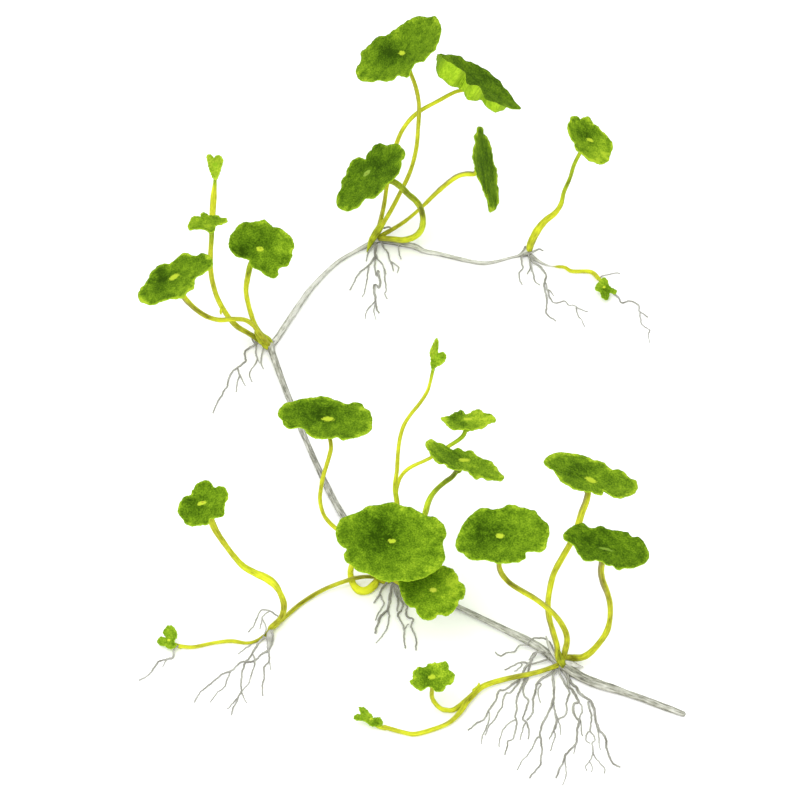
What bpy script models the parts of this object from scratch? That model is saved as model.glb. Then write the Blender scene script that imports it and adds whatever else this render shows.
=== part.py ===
"""Whorled pennywort: a creeping water plant, as pulled up and laid on a surface.

The grey rhizome, the yellow-green runners and the roots lie on the surface. Round
leaves with scalloped rims stand over them, and each stalk meets its blade near the
middle. Places are pixels of a picture of the plant, seen from the front and above,
and each one is put at a real height or at a real depth. Sizes are in metres unless
a name says mm, +Z is up and the front faces -Y.
"""

import math

import bmesh
import bpy
from mathutils import Vector

# Driving dimensions
PICTURE_WIDTH = 0.300
BLADE_THICKNESS = 0.0006
BLADE_FUNNEL = 0.09
BLADE_WAVE = 0.03
INNER_RING = 0.5
STALK_RADIUS = (0.00065, 0.00090)
STALK_SIDES = 5
STALK_STEPS = 11
STEM_SIDES = 8
RUNNER_SIDES = 6
KNOB_LENGTH = 0.004
ROOT_WIDTH = (0.0008, 0.0003)
ROOT_HEIGHT = 0.0006
CROWN_HEIGHT = 0.0008
CROWN_SIDES = 14
JOINT_LENGTH = 0.0010
GAP = 0.0003
MM = 0.001

# The picture that the places are read in, and the eye that sees it
PICTURE_PIXELS = 800
PICTURE_MIDDLE = 400
VIEW_ELEVATION = math.radians(40)
EYE_DISTANCE = 1.6667
AIM = Vector((-0.0010, 0.0392, 0.0))
RIGHT = Vector((1.0, 0.0, 0.0))
UP = Vector((0.0, math.sin(VIEW_ELEVATION), math.cos(VIEW_ELEVATION)))
TO_EYE = Vector((0.0, -math.cos(VIEW_ELEVATION), math.sin(VIEW_ELEVATION)))
EYE = AIM + EYE_DISTANCE * TO_EYE

# Nodes, where leaves and roots grow, and the height of the middle of each
NODE_1 = (561, 664)
NODE_2 = (393, 578)
NODE_3 = (270, 347)
NODE_4 = (378, 240)
NODE_5 = (528, 254)
NODE_6 = (268, 633)
NODE_7 = (467, 701)
NODE_HEIGHT = {
    NODE_1: 0.0022,
    NODE_2: 0.0018,
    NODE_3: 0.0017,
    NODE_4: 0.0015,
    NODE_5: 0.0018,
    NODE_6: 0.0012,
    NODE_7: 0.0020,
}

# Colours and roughness of the materials
FINISHES = {
    "leaf": ((0.12, 0.30, 0.02), 0.45),
    "young_leaf": ((0.28, 0.50, 0.04), 0.45),
    "stalk": ((0.52, 0.52, 0.05), 0.40),
    "runner": ((0.60, 0.58, 0.06), 0.40),
    "rhizome": ((0.45, 0.45, 0.40), 0.60),
    "root": ((0.28, 0.28, 0.26), 0.70),
}

# Stems, from the older end to the younger: radius at both ends, radius of the
# swelling at the far end, how far the near end stays from its node, and route
# pixels, each with the height in mm of the stem's underside where it isn't 0
STEMS = {
    "rhizome_old_end": dict(
        finish="rhizome", radii=(0.0015, 0.0021), knob=0.0024, start_trim=0.0, steps=6,
        route=[(684, 713), (662, 706), (641, 698), (620, 691), (600, 684), (581, 675), NODE_1]),
    "rhizome_1_to_2": dict(
        finish="rhizome", radii=(0.0018, 0.0015), knob=0.0020, start_trim=0.0010, steps=6,
        route=[NODE_1, (535, 645), (500, 627), (456, 606), (425, 592), NODE_2]),
    "rhizome_2_to_3": dict(
        finish="rhizome", radii=(0.0016, 0.0012), knob=0.0018, start_trim=0.0016, steps=9,
        route=[NODE_2, (352, 528), (334, 500), (316, 468), (302, 436), (291, 403), (283, 383), NODE_3]),
    "rhizome_3_to_4": dict(
        finish="rhizome", radii=(0.0011, 0.0010), knob=0.0016, start_trim=0.0018, steps=7,
        route=[NODE_3, (285, 328), (304, 301), (330, 268), (352, 252), NODE_4]),
    "rhizome_4_to_5": dict(
        finish="rhizome", radii=(0.0010, 0.0006), knob=0.0020, start_trim=0.0022, steps=8,
        route=[NODE_4, (418, 247), (440, 253), (465, 259), (490, 262), (509, 258), NODE_5]),
    "runner_right": dict(
        finish="runner", radii=(0.0007, 0.0007), knob=0.0, start_trim=0.0026, steps=8,
        route=[NODE_5, (540, 262), (550, 266), (564, 267), (572, 271), (591, 272), (598, 278, 1.0)]),
    "runner_left_near": dict(
        finish="runner", radii=(0.0009, 0.0010), knob=0.0014, start_trim=0.0042, steps=11,
        route=[NODE_2 + (2.4,), (377, 577, 2.8), (363, 577, 3.0), (349, 580, 3.0), (326, 590, 1.2),
               (304, 603), (284, 618), NODE_6]),
    "runner_left_far": dict(
        finish="runner", radii=(0.0008, 0.0008), knob=0.0, start_trim=0.0010, steps=8,
        route=[NODE_6, (258, 640), (247, 643), (231, 642), (212, 645), (192, 648), (179, 646, 0.8)]),
    "runner_front": dict(
        finish="runner", radii=(0.0011, 0.0009), knob=0.0, start_trim=0.0034, steps=13,
        route=[NODE_1 + (1.4,), (545, 672, 1.4), (530, 676, 1.4), (506, 681, 1.4), (484, 688, 1.4),
               (472, 696, 1.2), (466, 703, 1.1), (461, 711, 0.9), (450, 722, 0.5), (434, 729), (415, 734),
               (402, 732), (384, 727, 0.8)]),
}

# Leaves. spot: pixel where the stalk meets the blade. lean_mm: how far the blade
# stands behind its node. openness: breadth over length as the picture shows the
# blade. roll: degrees that the blade leans to the right. base_mm: where the stalk
# starts, from the middle of its node. stalk: route pixels from
# the blade down, each with a height in mm where it lies on the surface.
LEAVES = {
    "leaf_01": dict(
        node=NODE_4, spot=(402, 53), lean_mm=5, openness=0.50, roll=-38, base_mm=(-1.4, 0.0, 2.0),
        stalk=[(410, 71), (416, 88), (419, 106), (418, 130), (416, 150), (410, 172), (400, 193),
               (390, 212), (380, 228)],
        rim=[(435, 16), (439, 22), (441, 28), (440, 37), (436, 46), (434, 51), (430, 54), (424, 60),
             (416, 63), (411, 70), (407, 77), (402, 76), (397, 76), (392, 80), (384, 81), (378, 80),
             (372, 82), (366, 81), (360, 80), (356, 73), (357, 66), (361, 60), (361, 53), (366, 47),
             (372, 42), (379, 36), (386, 35), (394, 30), (402, 24), (410, 19), (419, 16), (427, 17)]),
    "leaf_02": dict(
        node=NODE_4, spot=(472, 80), lean_mm=10, openness=0.33, roll=31, base_mm=(-0.2, 2.0, 1.6),
        stalk=[(455, 92), (438, 101), (420, 111), (408, 122), (399, 137), (392, 160), (387, 185),
               (384, 205), (380, 223)],
        rim=[(436, 60), (439, 54), (445, 55), (451, 54), (460, 56), (466, 61), (472, 62), (480, 66),
             (487, 70), (493, 76), (499, 79), (503, 86), (508, 91), (513, 98), (518, 104), (521, 109),
             (514, 109), (507, 107), (502, 111), (495, 113), (489, 109), (483, 101), (475, 101),
             (468, 100), (463, 92), (457, 87), (450, 86), (443, 80), (438, 76), (436, 70)]),
    "leaf_03": dict(
        node=NODE_4, spot=(367, 173), lean_mm=-20, openness=0.46, roll=-43, base_mm=(1.6, -1.0, 1.6),
        stalk=[(391, 181), (401, 187), (409, 193), (417, 200), (422, 209), (424, 220), (422, 231),
               (414, 238), (403, 240), (392, 240)],
        rim=[(371, 150), (374, 146), (380, 143), (386, 145), (397, 144), (402, 148), (405, 153),
             (404, 158), (401, 161), (401, 166), (398, 173), (394, 179), (386, 184), (383, 190),
             (378, 195), (372, 198), (365, 199), (360, 205), (355, 208), (349, 211), (343, 210),
             (338, 207), (336, 200), (338, 194), (341, 188), (341, 181), (346, 175), (347, 168),
             (352, 161), (359, 157), (365, 159), (367, 154)]),
    "leaf_04": dict(
        node=NODE_4, spot=(485, 171), lean_mm=0, openness=0.27, roll=80, base_mm=(1.6, 1.0, 1.6),
        stalk=[(474, 173), (465, 173), (456, 176), (444, 185), (432, 197), (424, 204), (415, 211),
               (403, 219), (393, 227)],
        rim=[(478, 127), (483, 128), (484, 133), (488, 138), (490, 144), (492, 149), (493, 154),
             (493, 159), (494, 164), (497, 169), (498, 176), (497, 182), (499, 190), (499, 198),
             (498, 205), (495, 210), (490, 212), (489, 207), (488, 201), (485, 194), (482, 187),
             (480, 181), (477, 175), (475, 169), (474, 161), (473, 154), (474, 147), (476, 141),
             (475, 136), (477, 131)]),
    "leaf_05": dict(
        node=NODE_5, spot=(590, 140), lean_mm=0, openness=0.60, roll=40, base_mm=(0.5, 0.2, 2.4),
        stalk=[(580, 153), (574, 165), (570, 178), (564, 192), (561, 204), (555, 213), (545, 221),
               (537, 231), (531, 243)],
        rim=[(571, 117), (577, 116), (580, 119), (584, 117), (589, 117), (592, 120), (594, 124),
             (598, 126), (600, 129), (604, 132), (607, 136), (611, 140), (613, 145), (612, 150),
             (610, 156), (608, 161), (602, 164), (596, 163), (589, 160), (585, 157), (581, 153),
             (578, 151), (575, 147), (574, 142), (571, 138), (568, 131), (568, 125), (570, 121)]),
    "leaf_06": dict(
        node=NODE_3, spot=(174, 277), lean_mm=-20, openness=0.50, roll=-30, base_mm=(-1.0, -0.5, 2.4),
        stalk=[(184, 297), (190, 305), (198, 312), (208, 318), (220, 320), (233, 319), (245, 320),
               (253, 325), (259, 333)],
        rim=[(187, 253), (192, 255), (197, 255), (203, 253), (209, 256), (212, 260), (212, 265),
             (208, 270), (201, 275), (195, 278), (194, 284), (193, 289), (187, 292), (184, 297),
             (178, 298), (170, 299), (163, 301), (154, 304), (147, 304), (140, 301), (138, 295),
             (140, 288), (144, 285), (148, 279), (151, 272), (157, 266), (163, 264), (171, 263),
             (175, 259), (181, 254)]),
    "leaf_07": dict(
        node=NODE_3, spot=(260, 249), lean_mm=0, openness=0.86, roll=28, base_mm=(-0.2, 1.5, 2.1),
        stalk=[(251, 264), (247, 276), (245, 290), (247, 303), (250, 314), (255, 325), (261, 334)],
        rim=[(230, 249), (229, 242), (231, 235), (235, 230), (239, 225), (245, 222), (252, 222),
             (258, 221), (264, 220), (269, 223), (273, 227), (278, 227), (284, 231), (289, 235),
             (293, 240), (294, 247), (292, 252), (292, 256), (290, 261), (287, 266), (281, 267),
             (278, 270), (278, 275), (273, 278), (266, 275), (259, 270), (252, 267), (249, 260),
             (243, 258), (236, 256)]),
    "leaf_08": dict(
        node=NODE_3, spot=(209, 222), lean_mm=-1, openness=0.45, roll=-8, base_mm=(-2.4, 0.9, 1.3),
        stalk=[(212, 233), (211, 250), (211, 270), (215, 291), (224, 310), (236, 325), (248, 333)],
        rim=[(188, 226), (190, 220), (194, 216), (200, 216), (201, 213), (206, 213), (210, 215),
             (216, 215), (221, 217), (226, 218), (227, 222), (221, 224), (216, 226), (214, 231),
             (209, 232), (203, 229), (196, 229), (190, 230)]),
    "leaf_10": dict(
        node=NODE_2, spot=(328, 419), lean_mm=4, openness=0.47, roll=3, base_mm=(-2.2, 0.4, 1.9),
        stalk=[(330, 439), (331, 448), (329, 457), (326, 467), (323, 477), (321, 488), (320, 500),
               (323, 513), (329, 522), (340, 532), (356, 546), (374, 562)],
        rim=[(278, 414), (281, 407), (288, 402), (298, 400), (306, 398), (314, 397), (322, 396),
             (330, 398), (338, 400), (343, 403), (348, 404), (355, 402), (361, 403), (365, 408),
             (370, 412), (372, 418), (372, 424), (371, 430), (366, 434), (359, 436), (352, 438),
             (344, 440), (338, 437), (330, 438), (322, 439), (314, 437), (307, 433), (303, 428),
             (296, 427), (289, 428), (284, 425), (282, 420)]),
    "leaf_11": dict(
        node=NODE_2, spot=(392, 541), lean_mm=-29, openness=0.74, roll=5, base_mm=(-2.6, -1.4, -0.6),
        stalk=[(372, 553, 27), (357, 560, 16), (350, 568, 6.5), (351, 577, 1.9), (354, 586, 1.2),
               (360, 591, 1.1), (367, 592, 1.1), (374, 588, 1.1), (379, 584, 1.1)],
        rim=[(336, 532), (338, 524), (342, 518), (349, 515), (356, 513), (362, 510), (369, 506),
             (377, 505), (386, 503), (394, 502), (401, 506), (410, 507), (418, 511), (426, 515),
             (434, 517), (440, 521), (445, 528), (446, 535), (443, 541), (443, 548), (445, 555),
             (443, 563), (436, 570), (428, 575), (419, 579), (409, 581), (399, 580), (390, 581),
             (381, 580), (373, 576), (367, 573), (359, 571), (353, 566), (346, 561), (344, 555),
             (347, 549), (342, 546), (337, 539)]),
    "leaf_12": dict(
        node=NODE_2, spot=(433, 590), lean_mm=-36, openness=0.82, roll=0, base_mm=(0.4, -2.9, 1.9),
        stalk=[(424, 592), (412, 589), (403, 585)],
        rim=[(399, 584), (398, 577), (403, 570), (410, 566), (418, 563), (427, 562), (436, 564),
             (445, 566), (452, 569), (457, 575), (459, 581), (464, 585), (465, 592), (463, 598),
             (459, 600), (457, 606), (452, 612), (446, 616), (438, 614), (435, 618), (429, 620),
             (423, 619), (418, 614), (415, 608), (409, 606), (404, 600), (401, 593), (400, 588)]),
    "leaf_13": dict(
        node=NODE_2, spot=(468, 419), lean_mm=28, openness=0.34, roll=0, base_mm=(-1.8, 4.4, 1.8),
        stalk=[(466, 430), (463, 436), (457, 441), (449, 446), (440, 452), (432, 457), (424, 461),
               (415, 464), (408, 468), (402, 474), (398, 483), (396, 494), (397, 506), (396, 535)],
        rim=[(441, 418), (446, 416), (451, 415), (455, 412), (461, 410), (464, 413), (470, 413),
             (474, 410), (480, 409), (484, 413), (490, 413), (493, 416), (496, 419), (494, 422),
             (488, 424), (483, 428), (477, 429), (470, 430), (462, 429), (455, 430), (449, 427),
             (445, 423)]),
    "leaf_14": dict(
        node=NODE_2, spot=(464, 460), lean_mm=-6, openness=0.30, roll=24, base_mm=(2.0, 1.7, 1.5),
        stalk=[(457, 471), (452, 477), (445, 482), (438, 488), (432, 495), (428, 503), (425, 514),
               (418, 532), (407, 554)],
        rim=[(426, 443), (431, 439), (437, 442), (443, 444), (448, 447), (452, 449), (459, 448),
             (463, 451), (468, 450), (473, 451), (477, 456), (483, 458), (490, 461), (496, 466),
             (500, 472), (504, 477), (502, 480), (494, 480), (487, 480), (482, 477), (476, 479),
             (472, 476), (468, 471), (462, 470), (455, 470), (449, 467), (444, 464), (438, 463),
             (433, 457), (428, 450)]),
    "leaf_16": dict(
        node=NODE_1, spot=(500, 536), lean_mm=-5, openness=0.62, roll=0, base_mm=(0.9, 0.6, 2.8),
        stalk=[(499, 563), (500, 570), (504, 577), (511, 584), (522, 590), (534, 597), (546, 605),
               (555, 613), (562, 622), (567, 632), (568, 642), (566, 651)],
        rim=[(456, 541), (459, 533), (462, 527), (466, 520), (472, 514), (479, 509), (487, 508),
             (494, 509), (501, 508), (508, 505), (515, 505), (522, 507), (528, 509), (535, 511),
             (540, 517), (546, 522), (549, 528), (549, 534), (547, 541), (545, 549), (540, 552),
             (533, 551), (526, 552), (525, 558), (519, 562), (512, 562), (505, 563), (497, 563),
             (490, 561), (484, 559), (476, 560), (468, 558), (463, 553), (457, 549)]),
    "leaf_17": dict(
        node=NODE_1, spot=(591, 480), lean_mm=18, openness=0.36, roll=17, base_mm=(-1.2, 0.9, 2.7),
        stalk=[(587, 493), (585, 502), (581, 512), (578, 522), (574, 533), (569, 544), (561, 558),
               (553, 573), (549, 588), (547, 603), (548, 617), (552, 632), (556, 646)],
        rim=[(544, 462), (548, 456), (555, 453), (563, 452), (572, 453), (580, 455), (588, 456),
             (593, 460), (601, 461), (607, 465), (612, 469), (620, 470), (626, 473), (630, 478),
             (636, 481), (638, 487), (636, 491), (633, 494), (628, 496), (620, 498), (611, 495),
             (605, 491), (602, 494), (597, 494), (591, 492), (583, 491), (576, 489), (569, 486),
             (562, 482), (558, 476), (553, 470), (548, 467)]),
    "leaf_18": dict(
        node=NODE_1, spot=(606, 549), lean_mm=-9, openness=0.42, roll=15, base_mm=(2.9, 1.6, 1.6),
        stalk=[(601, 563), (600, 572), (602, 582), (606, 592), (610, 604), (611, 618), (608, 631),
               (601, 642), (592, 652), (583, 656), (575, 658)],
        rim=[(564, 534), (568, 529), (575, 525), (582, 523), (588, 526), (594, 528), (600, 526),
             (607, 528), (613, 530), (620, 531), (627, 532), (632, 536), (638, 537), (643, 541),
             (647, 547), (649, 554), (647, 561), (640, 565), (632, 568), (625, 568), (619, 569),
             (613, 566), (607, 565), (602, 561), (596, 560), (590, 561), (584, 560), (580, 555),
             (576, 549), (572, 544), (568, 541), (564, 538)]),
    "leaf_19": dict(
        node=NODE_6, spot=(202, 503), lean_mm=-8, openness=0.76, roll=-33, base_mm=(1.2, 0.8, 2.0),
        stalk=[(212, 519), (217, 530), (224, 543), (233, 555), (243, 566), (255, 573), (266, 578),
               (275, 585), (281, 595), (284, 606), (281, 618)],
        rim=[(178, 509), (180, 502), (184, 497), (190, 495), (193, 489), (198, 483), (205, 480),
             (210, 482), (214, 487), (220, 486), (225, 488), (227, 492), (228, 498), (225, 503),
             (224, 509), (224, 515), (219, 517), (213, 518), (209, 520), (208, 524), (201, 525),
             (194, 526), (186, 524), (183, 519), (180, 516), (178, 512)]),
    "leaf_21": dict(
        node=NODE_7, spot=(432, 677), lean_mm=-6, openness=0.70, roll=-5, base_mm=(-1.9, -0.2, 0.3),
        stalk=[(431, 690), (431, 697), (434, 704), (439, 709, 2.4), (446, 711, 1.6), (455, 709, 1.3)],
        rim=[(410, 682), (413, 678), (413, 672), (416, 669), (420, 667), (425, 667), (428, 664),
             (433, 663), (438, 663), (444, 661), (448, 664), (449, 670), (454, 673), (454, 679),
             (451, 684), (446, 685), (443, 691), (436, 691), (432, 687), (427, 687), (422, 690),
             (416, 688)]),
}

# Folded young leaves on their stalks. bud: pixel, half width and half depth in mm
# of each cross-section from the stalk up. tips_mm: how far the last one's left,
# middle and right reach past it.
BUDS = {
    "young_leaf_09": dict(
        node=NODE_3, lean_mm=12, base_mm=(-2.0, 2.9, 1.0), tips_mm=(0.6, -0.9, 0.6),
        bud=[((215, 183), 0.7, 0.7), ((215, 177), 1.1, 0.9), ((215, 170), 2.2, 1.4),
             ((215, 163), 2.7, 1.6), ((214, 157), 3.0, 1.3)],
        stalk=[(214, 192), (213, 206), (212, 222), (211, 242), (210, 262), (212, 281), (218, 300),
               (226, 314), (236, 326), (248, 333), (257, 338)]),
    "young_leaf_15": dict(
        node=NODE_2, lean_mm=20, base_mm=(0.2, 1.0, 2.6), tips_mm=(0.2, 0.4, 0.0),
        bud=[((433, 374), 0.6, 0.6), ((434, 367), 1.3, 1.1), ((438, 359), 2.8, 1.5),
             ((435, 352), 1.7, 1.2), ((436, 345), 1.0, 0.8), ((437, 340), 0.5, 0.5)],
        stalk=[(430, 383), (427, 392), (420, 403), (411, 414), (404, 425), (400, 438), (398, 453),
               (397, 470), (395, 487), (397, 503), (397, 520), (396, 547)]),
}

# Young leaves that end the runners: spot pixel, height of the spot, how the blade
# leans, as for the leaves, and rim pixels
TIP_LEAVES = {
    "tip_leaf_left": dict(
        spot=(169, 640), height_mm=3.2, openness=0.80, roll=-40,
        rim=[(157, 641), (160, 637), (164, 638), (165, 636), (163, 632), (165, 628), (170, 625),
             (175, 629), (177, 636), (174, 641), (176, 646), (170, 649), (165, 646), (160, 645)]),
    "tip_leaf_front": dict(
        spot=(371, 719), height_mm=3.4, openness=0.75, roll=20,
        rim=[(354, 717), (357, 714), (361, 715), (359, 707), (365, 708), (370, 713), (374, 718),
             (379, 717), (383, 723), (377, 726), (370, 725), (365, 721), (360, 720), (356, 720)]),
    "tip_leaf_right": dict(
        spot=(604, 287), height_mm=3.6, openness=0.80, roll=20,
        rim=[(600, 281), (604, 277), (608, 281), (609, 286), (613, 288), (617, 291), (614, 294),
             (610, 292), (609, 297), (606, 300), (602, 297), (600, 292), (595, 289), (597, 284)]),
}

# Root tufts: crown pixel and radius, then each root's route pixels from the crown,
# or, after the number of an earlier root and of the step it leaves, a branch's
TUFTS = {
    "roots_1": dict(crown=(558, 676), radius=0.0016, roots=[
        [(549, 678), (541, 682), (537, 690), (534, 702), (533, 714), (529, 726), (522, 740)],
        [(553, 684), (554, 699), (547, 716), (540, 733), (541, 750), (539, 766), (530, 778)],
        (1, 2, [(557, 714), (554, 729), (549, 750)]),
        (1, 4, [(533, 747), (526, 758), (516, 771)]),
        [(563, 685), (568, 695), (565, 706), (561, 720), (562, 735)],
        [(568, 684), (574, 694), (579, 704), (580, 722), (577, 738), (566, 754), (559, 770), (556, 779)],
        (5, 6, [(566, 769), (563, 785)]),
        [(573, 683), (584, 696), (592, 703), (596, 719), (603, 735), (607, 750), (613, 763), (620, 767)],
        (7, 3, [(589, 716), (590, 731), (592, 745), (592, 757), (587, 768)]),
        (8, 4, [(604, 769)]),
    ]),
    "roots_1_side": dict(crown=(534, 656), radius=0.0013, roots=[
        [(525, 653), (514, 653), (502, 656), (495, 653)],
        [(525, 660), (516, 664), (505, 670)],
        [(534, 667), (529, 679), (523, 690), (526, 701), (523, 714)],
        [(526, 666), (518, 680), (504, 693), (495, 704), (486, 718), (468, 730)],
        (3, 5, [(484, 732), (481, 746)]),
        (3, 2, [(515, 694), (517, 706), (514, 722), (509, 740), (505, 756)]),
    ]),
    "roots_2": dict(crown=(391, 587), radius=0.0017, roots=[
        [(384, 592), (379, 597), (374, 603)],
        (0, 1, [(383, 603), (375, 620)]),
        [(389, 597), (388, 609), (388, 622), (384, 633), (376, 644)],
        (2, 2, [(380, 619), (375, 634)]),
        [(396, 597), (399, 614), (404, 628), (405, 650)],
        [(401, 595), (407, 609), (412, 620), (412, 629), (417, 645)],
    ]),
    "roots_3": dict(crown=(259, 348), radius=0.0013, roots=[
        [(251, 349), (245, 355), (244, 363), (234, 371), (228, 384), (218, 401), (213, 414)],
        (0, 4, [(238, 380), (236, 392)]),
        [(255, 355), (256, 362), (250, 371), (252, 383)],
        [(262, 355), (262, 361), (263, 370)],
    ]),
    "roots_4": dict(crown=(378, 248), radius=0.0015, roots=[
        [(376, 256), (374, 262), (377, 275), (376, 287), (375, 300), (379, 313)],
        (0, 2, [(367, 267), (358, 274), (350, 290)]),
        (1, 1, [(366, 282), (362, 297)]),
        (0, 5, [(366, 310), (365, 320)]),
        [(380, 259), (385, 271), (385, 286), (387, 299)],
        [(384, 252), (388, 256), (391, 264), (394, 272)],
        [(371, 253), (366, 261)],
    ]),
    "roots_5": dict(crown=(526, 262), radius=0.0015, roots=[
        [(521, 267), (519, 275), (522, 285)],
        [(529, 270), (534, 281), (540, 286)],
        [(535, 265), (546, 276), (545, 288), (547, 303), (546, 312), (556, 322)],
        (2, 2, [(552, 300), (565, 302), (575, 307), (588, 313)]),
        (3, 3, [(579, 317), (585, 327)]),
    ]),
    "roots_6": dict(crown=(270, 642), radius=0.0014, roots=[
        [(262, 649), (255, 658), (252, 670), (248, 682), (241, 692), (231, 715)],
        (0, 2, [(243, 663), (231, 671), (214, 681), (194, 702)]),
        (1, 3, [(225, 686), (210, 702)]),
        (0, 5, [(247, 704)]),
        [(269, 652), (268, 662), (264, 672), (263, 696)],
        (4, 2, [(272, 671)]),
    ]),
    "roots_left_tip": dict(crown=(174, 651), radius=0.0007, roots=[
        [(170, 657), (159, 662), (150, 673), (139, 681)],
    ]),
    "roots_right_tip": dict(crown=(612, 296), radius=0.0007, roots=[
        [(622, 303), (637, 304), (640, 312), (649, 318)],
        (0, 3, [(642, 324), (651, 331)]),
    ]),
}


def pixel_ray(pixel):
    """Return the direction from the eye through a pixel of the picture."""
    size = PICTURE_WIDTH / PICTURE_PIXELS
    across = (pixel[0] - PICTURE_MIDDLE) * size
    upward = (PICTURE_MIDDLE - pixel[1]) * size
    return AIM + across * RIGHT + upward * UP - EYE


def at_height(pixel, height):
    """Return the point that a pixel shows at a height above the surface."""
    ray = pixel_ray(pixel)
    return EYE + ray * ((height - EYE.z) / ray.z)


def at_depth(pixel, depth):
    """Return the point that a pixel shows where Y is the depth."""
    ray = pixel_ray(pixel)
    return EYE + ray * ((depth - EYE.y) / ray.y)


def on_plane(pixel, point, normal):
    """Return the point that a pixel shows on the plane through a point."""
    ray = pixel_ray(pixel)
    return EYE + ray * ((point - EYE).dot(normal) / ray.dot(normal))


def along(points, steps):
    """Return steps + 1 points at even distances on a smooth curve through the points."""
    fine = []
    for k in range(len(points) - 1):
        before = points[max(k - 1, 0)]
        start, end = points[k], points[k + 1]
        after = points[min(k + 2, len(points) - 1)]
        for j in range(8):
            t = j / 8
            a = 2 * start
            b = (end - before) * t
            c = (2 * before - 5 * start + 4 * end - after) * t * t
            d = (3 * start - before - 3 * end + after) * t * t * t
            fine.append((a + b + c + d) / 2)
    fine.append(points[-1])
    reach = [0.0]
    for k in range(1, len(fine)):
        reach.append(reach[-1] + (fine[k] - fine[k - 1]).length)
    spaced = []
    k = 1
    for j in range(steps + 1):
        wanted = reach[-1] * j / steps
        while k < len(fine) - 1 and reach[k] < wanted:
            k += 1
        share = (wanted - reach[k - 1]) / (reach[k] - reach[k - 1])
        spaced.append(fine[k - 1].lerp(fine[k], share))
    return spaced


def new_part(name, bm, finish, smooth=True):
    """Make an object of a closed mesh, with a material of its own."""
    if bm.calc_volume(signed=True) < 0:
        bmesh.ops.reverse_faces(bm, faces=bm.faces)
    mesh = bpy.data.meshes.new(name)
    bm.to_mesh(mesh)
    bm.free()
    if smooth:
        mesh.shade_smooth()
        mesh.set_sharp_from_angle(angle=math.radians(50))
    colour, roughness = FINISHES[finish]
    material = bpy.data.materials.new(name)
    material.use_nodes = True
    shader = material.node_tree.nodes["Principled BSDF"]
    shader.inputs["Base Color"].default_value = (*colour, 1.0)
    shader.inputs["Roughness"].default_value = roughness
    shader.inputs["Metallic"].default_value = 0.0
    mesh.materials.append(material)
    part = bpy.data.objects.new(name, mesh)
    bpy.context.scene.collection.objects.link(part)
    return part


def skin_rings(bm, rings):
    """Join rings of points with faces, and close both ends."""
    rows = []
    for ring in rings:
        rows.append([bm.verts.new(point) for point in ring])
    count = len(rows[0])
    for lower, upper in zip(rows, rows[1:]):
        for k in range(count):
            after = (k + 1) % count
            bm.faces.new((lower[k], lower[after], upper[after], upper[k]))
    bm.faces.new(list(reversed(rows[0])))
    bm.faces.new(rows[-1])


def stem_rings(points, radii, sides):
    """Return level-bottomed rings round a route that stays near the surface."""
    rings = []
    for k, point in enumerate(points):
        before = points[max(k - 1, 0)]
        after = points[min(k + 1, len(points) - 1)]
        way = Vector((after.x - before.x, after.y - before.y, 0.0)).normalized()
        side = Vector((-way.y, way.x, 0.0))
        ring = []
        for j in range(sides):
            turn = math.tau * (j + 0.5) / sides - math.pi / 2
            ring.append(point + radii[k] * (math.cos(turn) * side + math.sin(turn) * Vector((0, 0, 1))))
        rings.append(ring)
    return rings


def make_stem(name, finish, route, radii, knob, start_trim, steps):
    """Make a stem on the surface, a little clear of the node it starts at."""
    sides = STEM_SIDES if finish == "rhizome" else RUNNER_SIDES
    flatness = math.cos(math.pi / sides)
    points = []
    for k, place in enumerate(route):
        radius = radii[0] + (radii[1] - radii[0]) * k / (len(route) - 1)
        underside = place[2] * MM if len(place) > 2 else 0.0
        points.append(at_height(place, underside + radius * flatness))
    if start_trim:
        points[0] = points[0] + (points[1] - points[0]).normalized() * start_trim
    points = along(points, steps)
    total = sum((b - a).length for a, b in zip(points, points[1:]))
    reach = 0.0
    sizes = []
    for k, point in enumerate(points):
        if k:
            reach += (point - points[k - 1]).length
        radius = radii[0] + (radii[1] - radii[0]) * reach / total
        if knob and total - reach < KNOB_LENGTH:
            radius += (knob - radius) * (1 - (total - reach) / KNOB_LENGTH)
        sizes.append(radius)
    lifted = any(len(place) > 2 for place in route)
    for point, size in zip(points, sizes):
        point.z = max(point.z, size * flatness) if lifted else size * flatness
    bm = bmesh.new()
    skin_rings(bm, stem_rings(points, sizes, sides))
    new_part(name, bm, finish)


def leaf_normal(openness, roll):
    """Return the way a blade faces, from how the picture shows it."""
    lean = math.radians(roll)
    in_picture = math.sin(lean) * RIGHT + math.cos(lean) * UP
    return openness * TO_EYE + math.sqrt(1 - openness * openness) * in_picture


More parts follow.
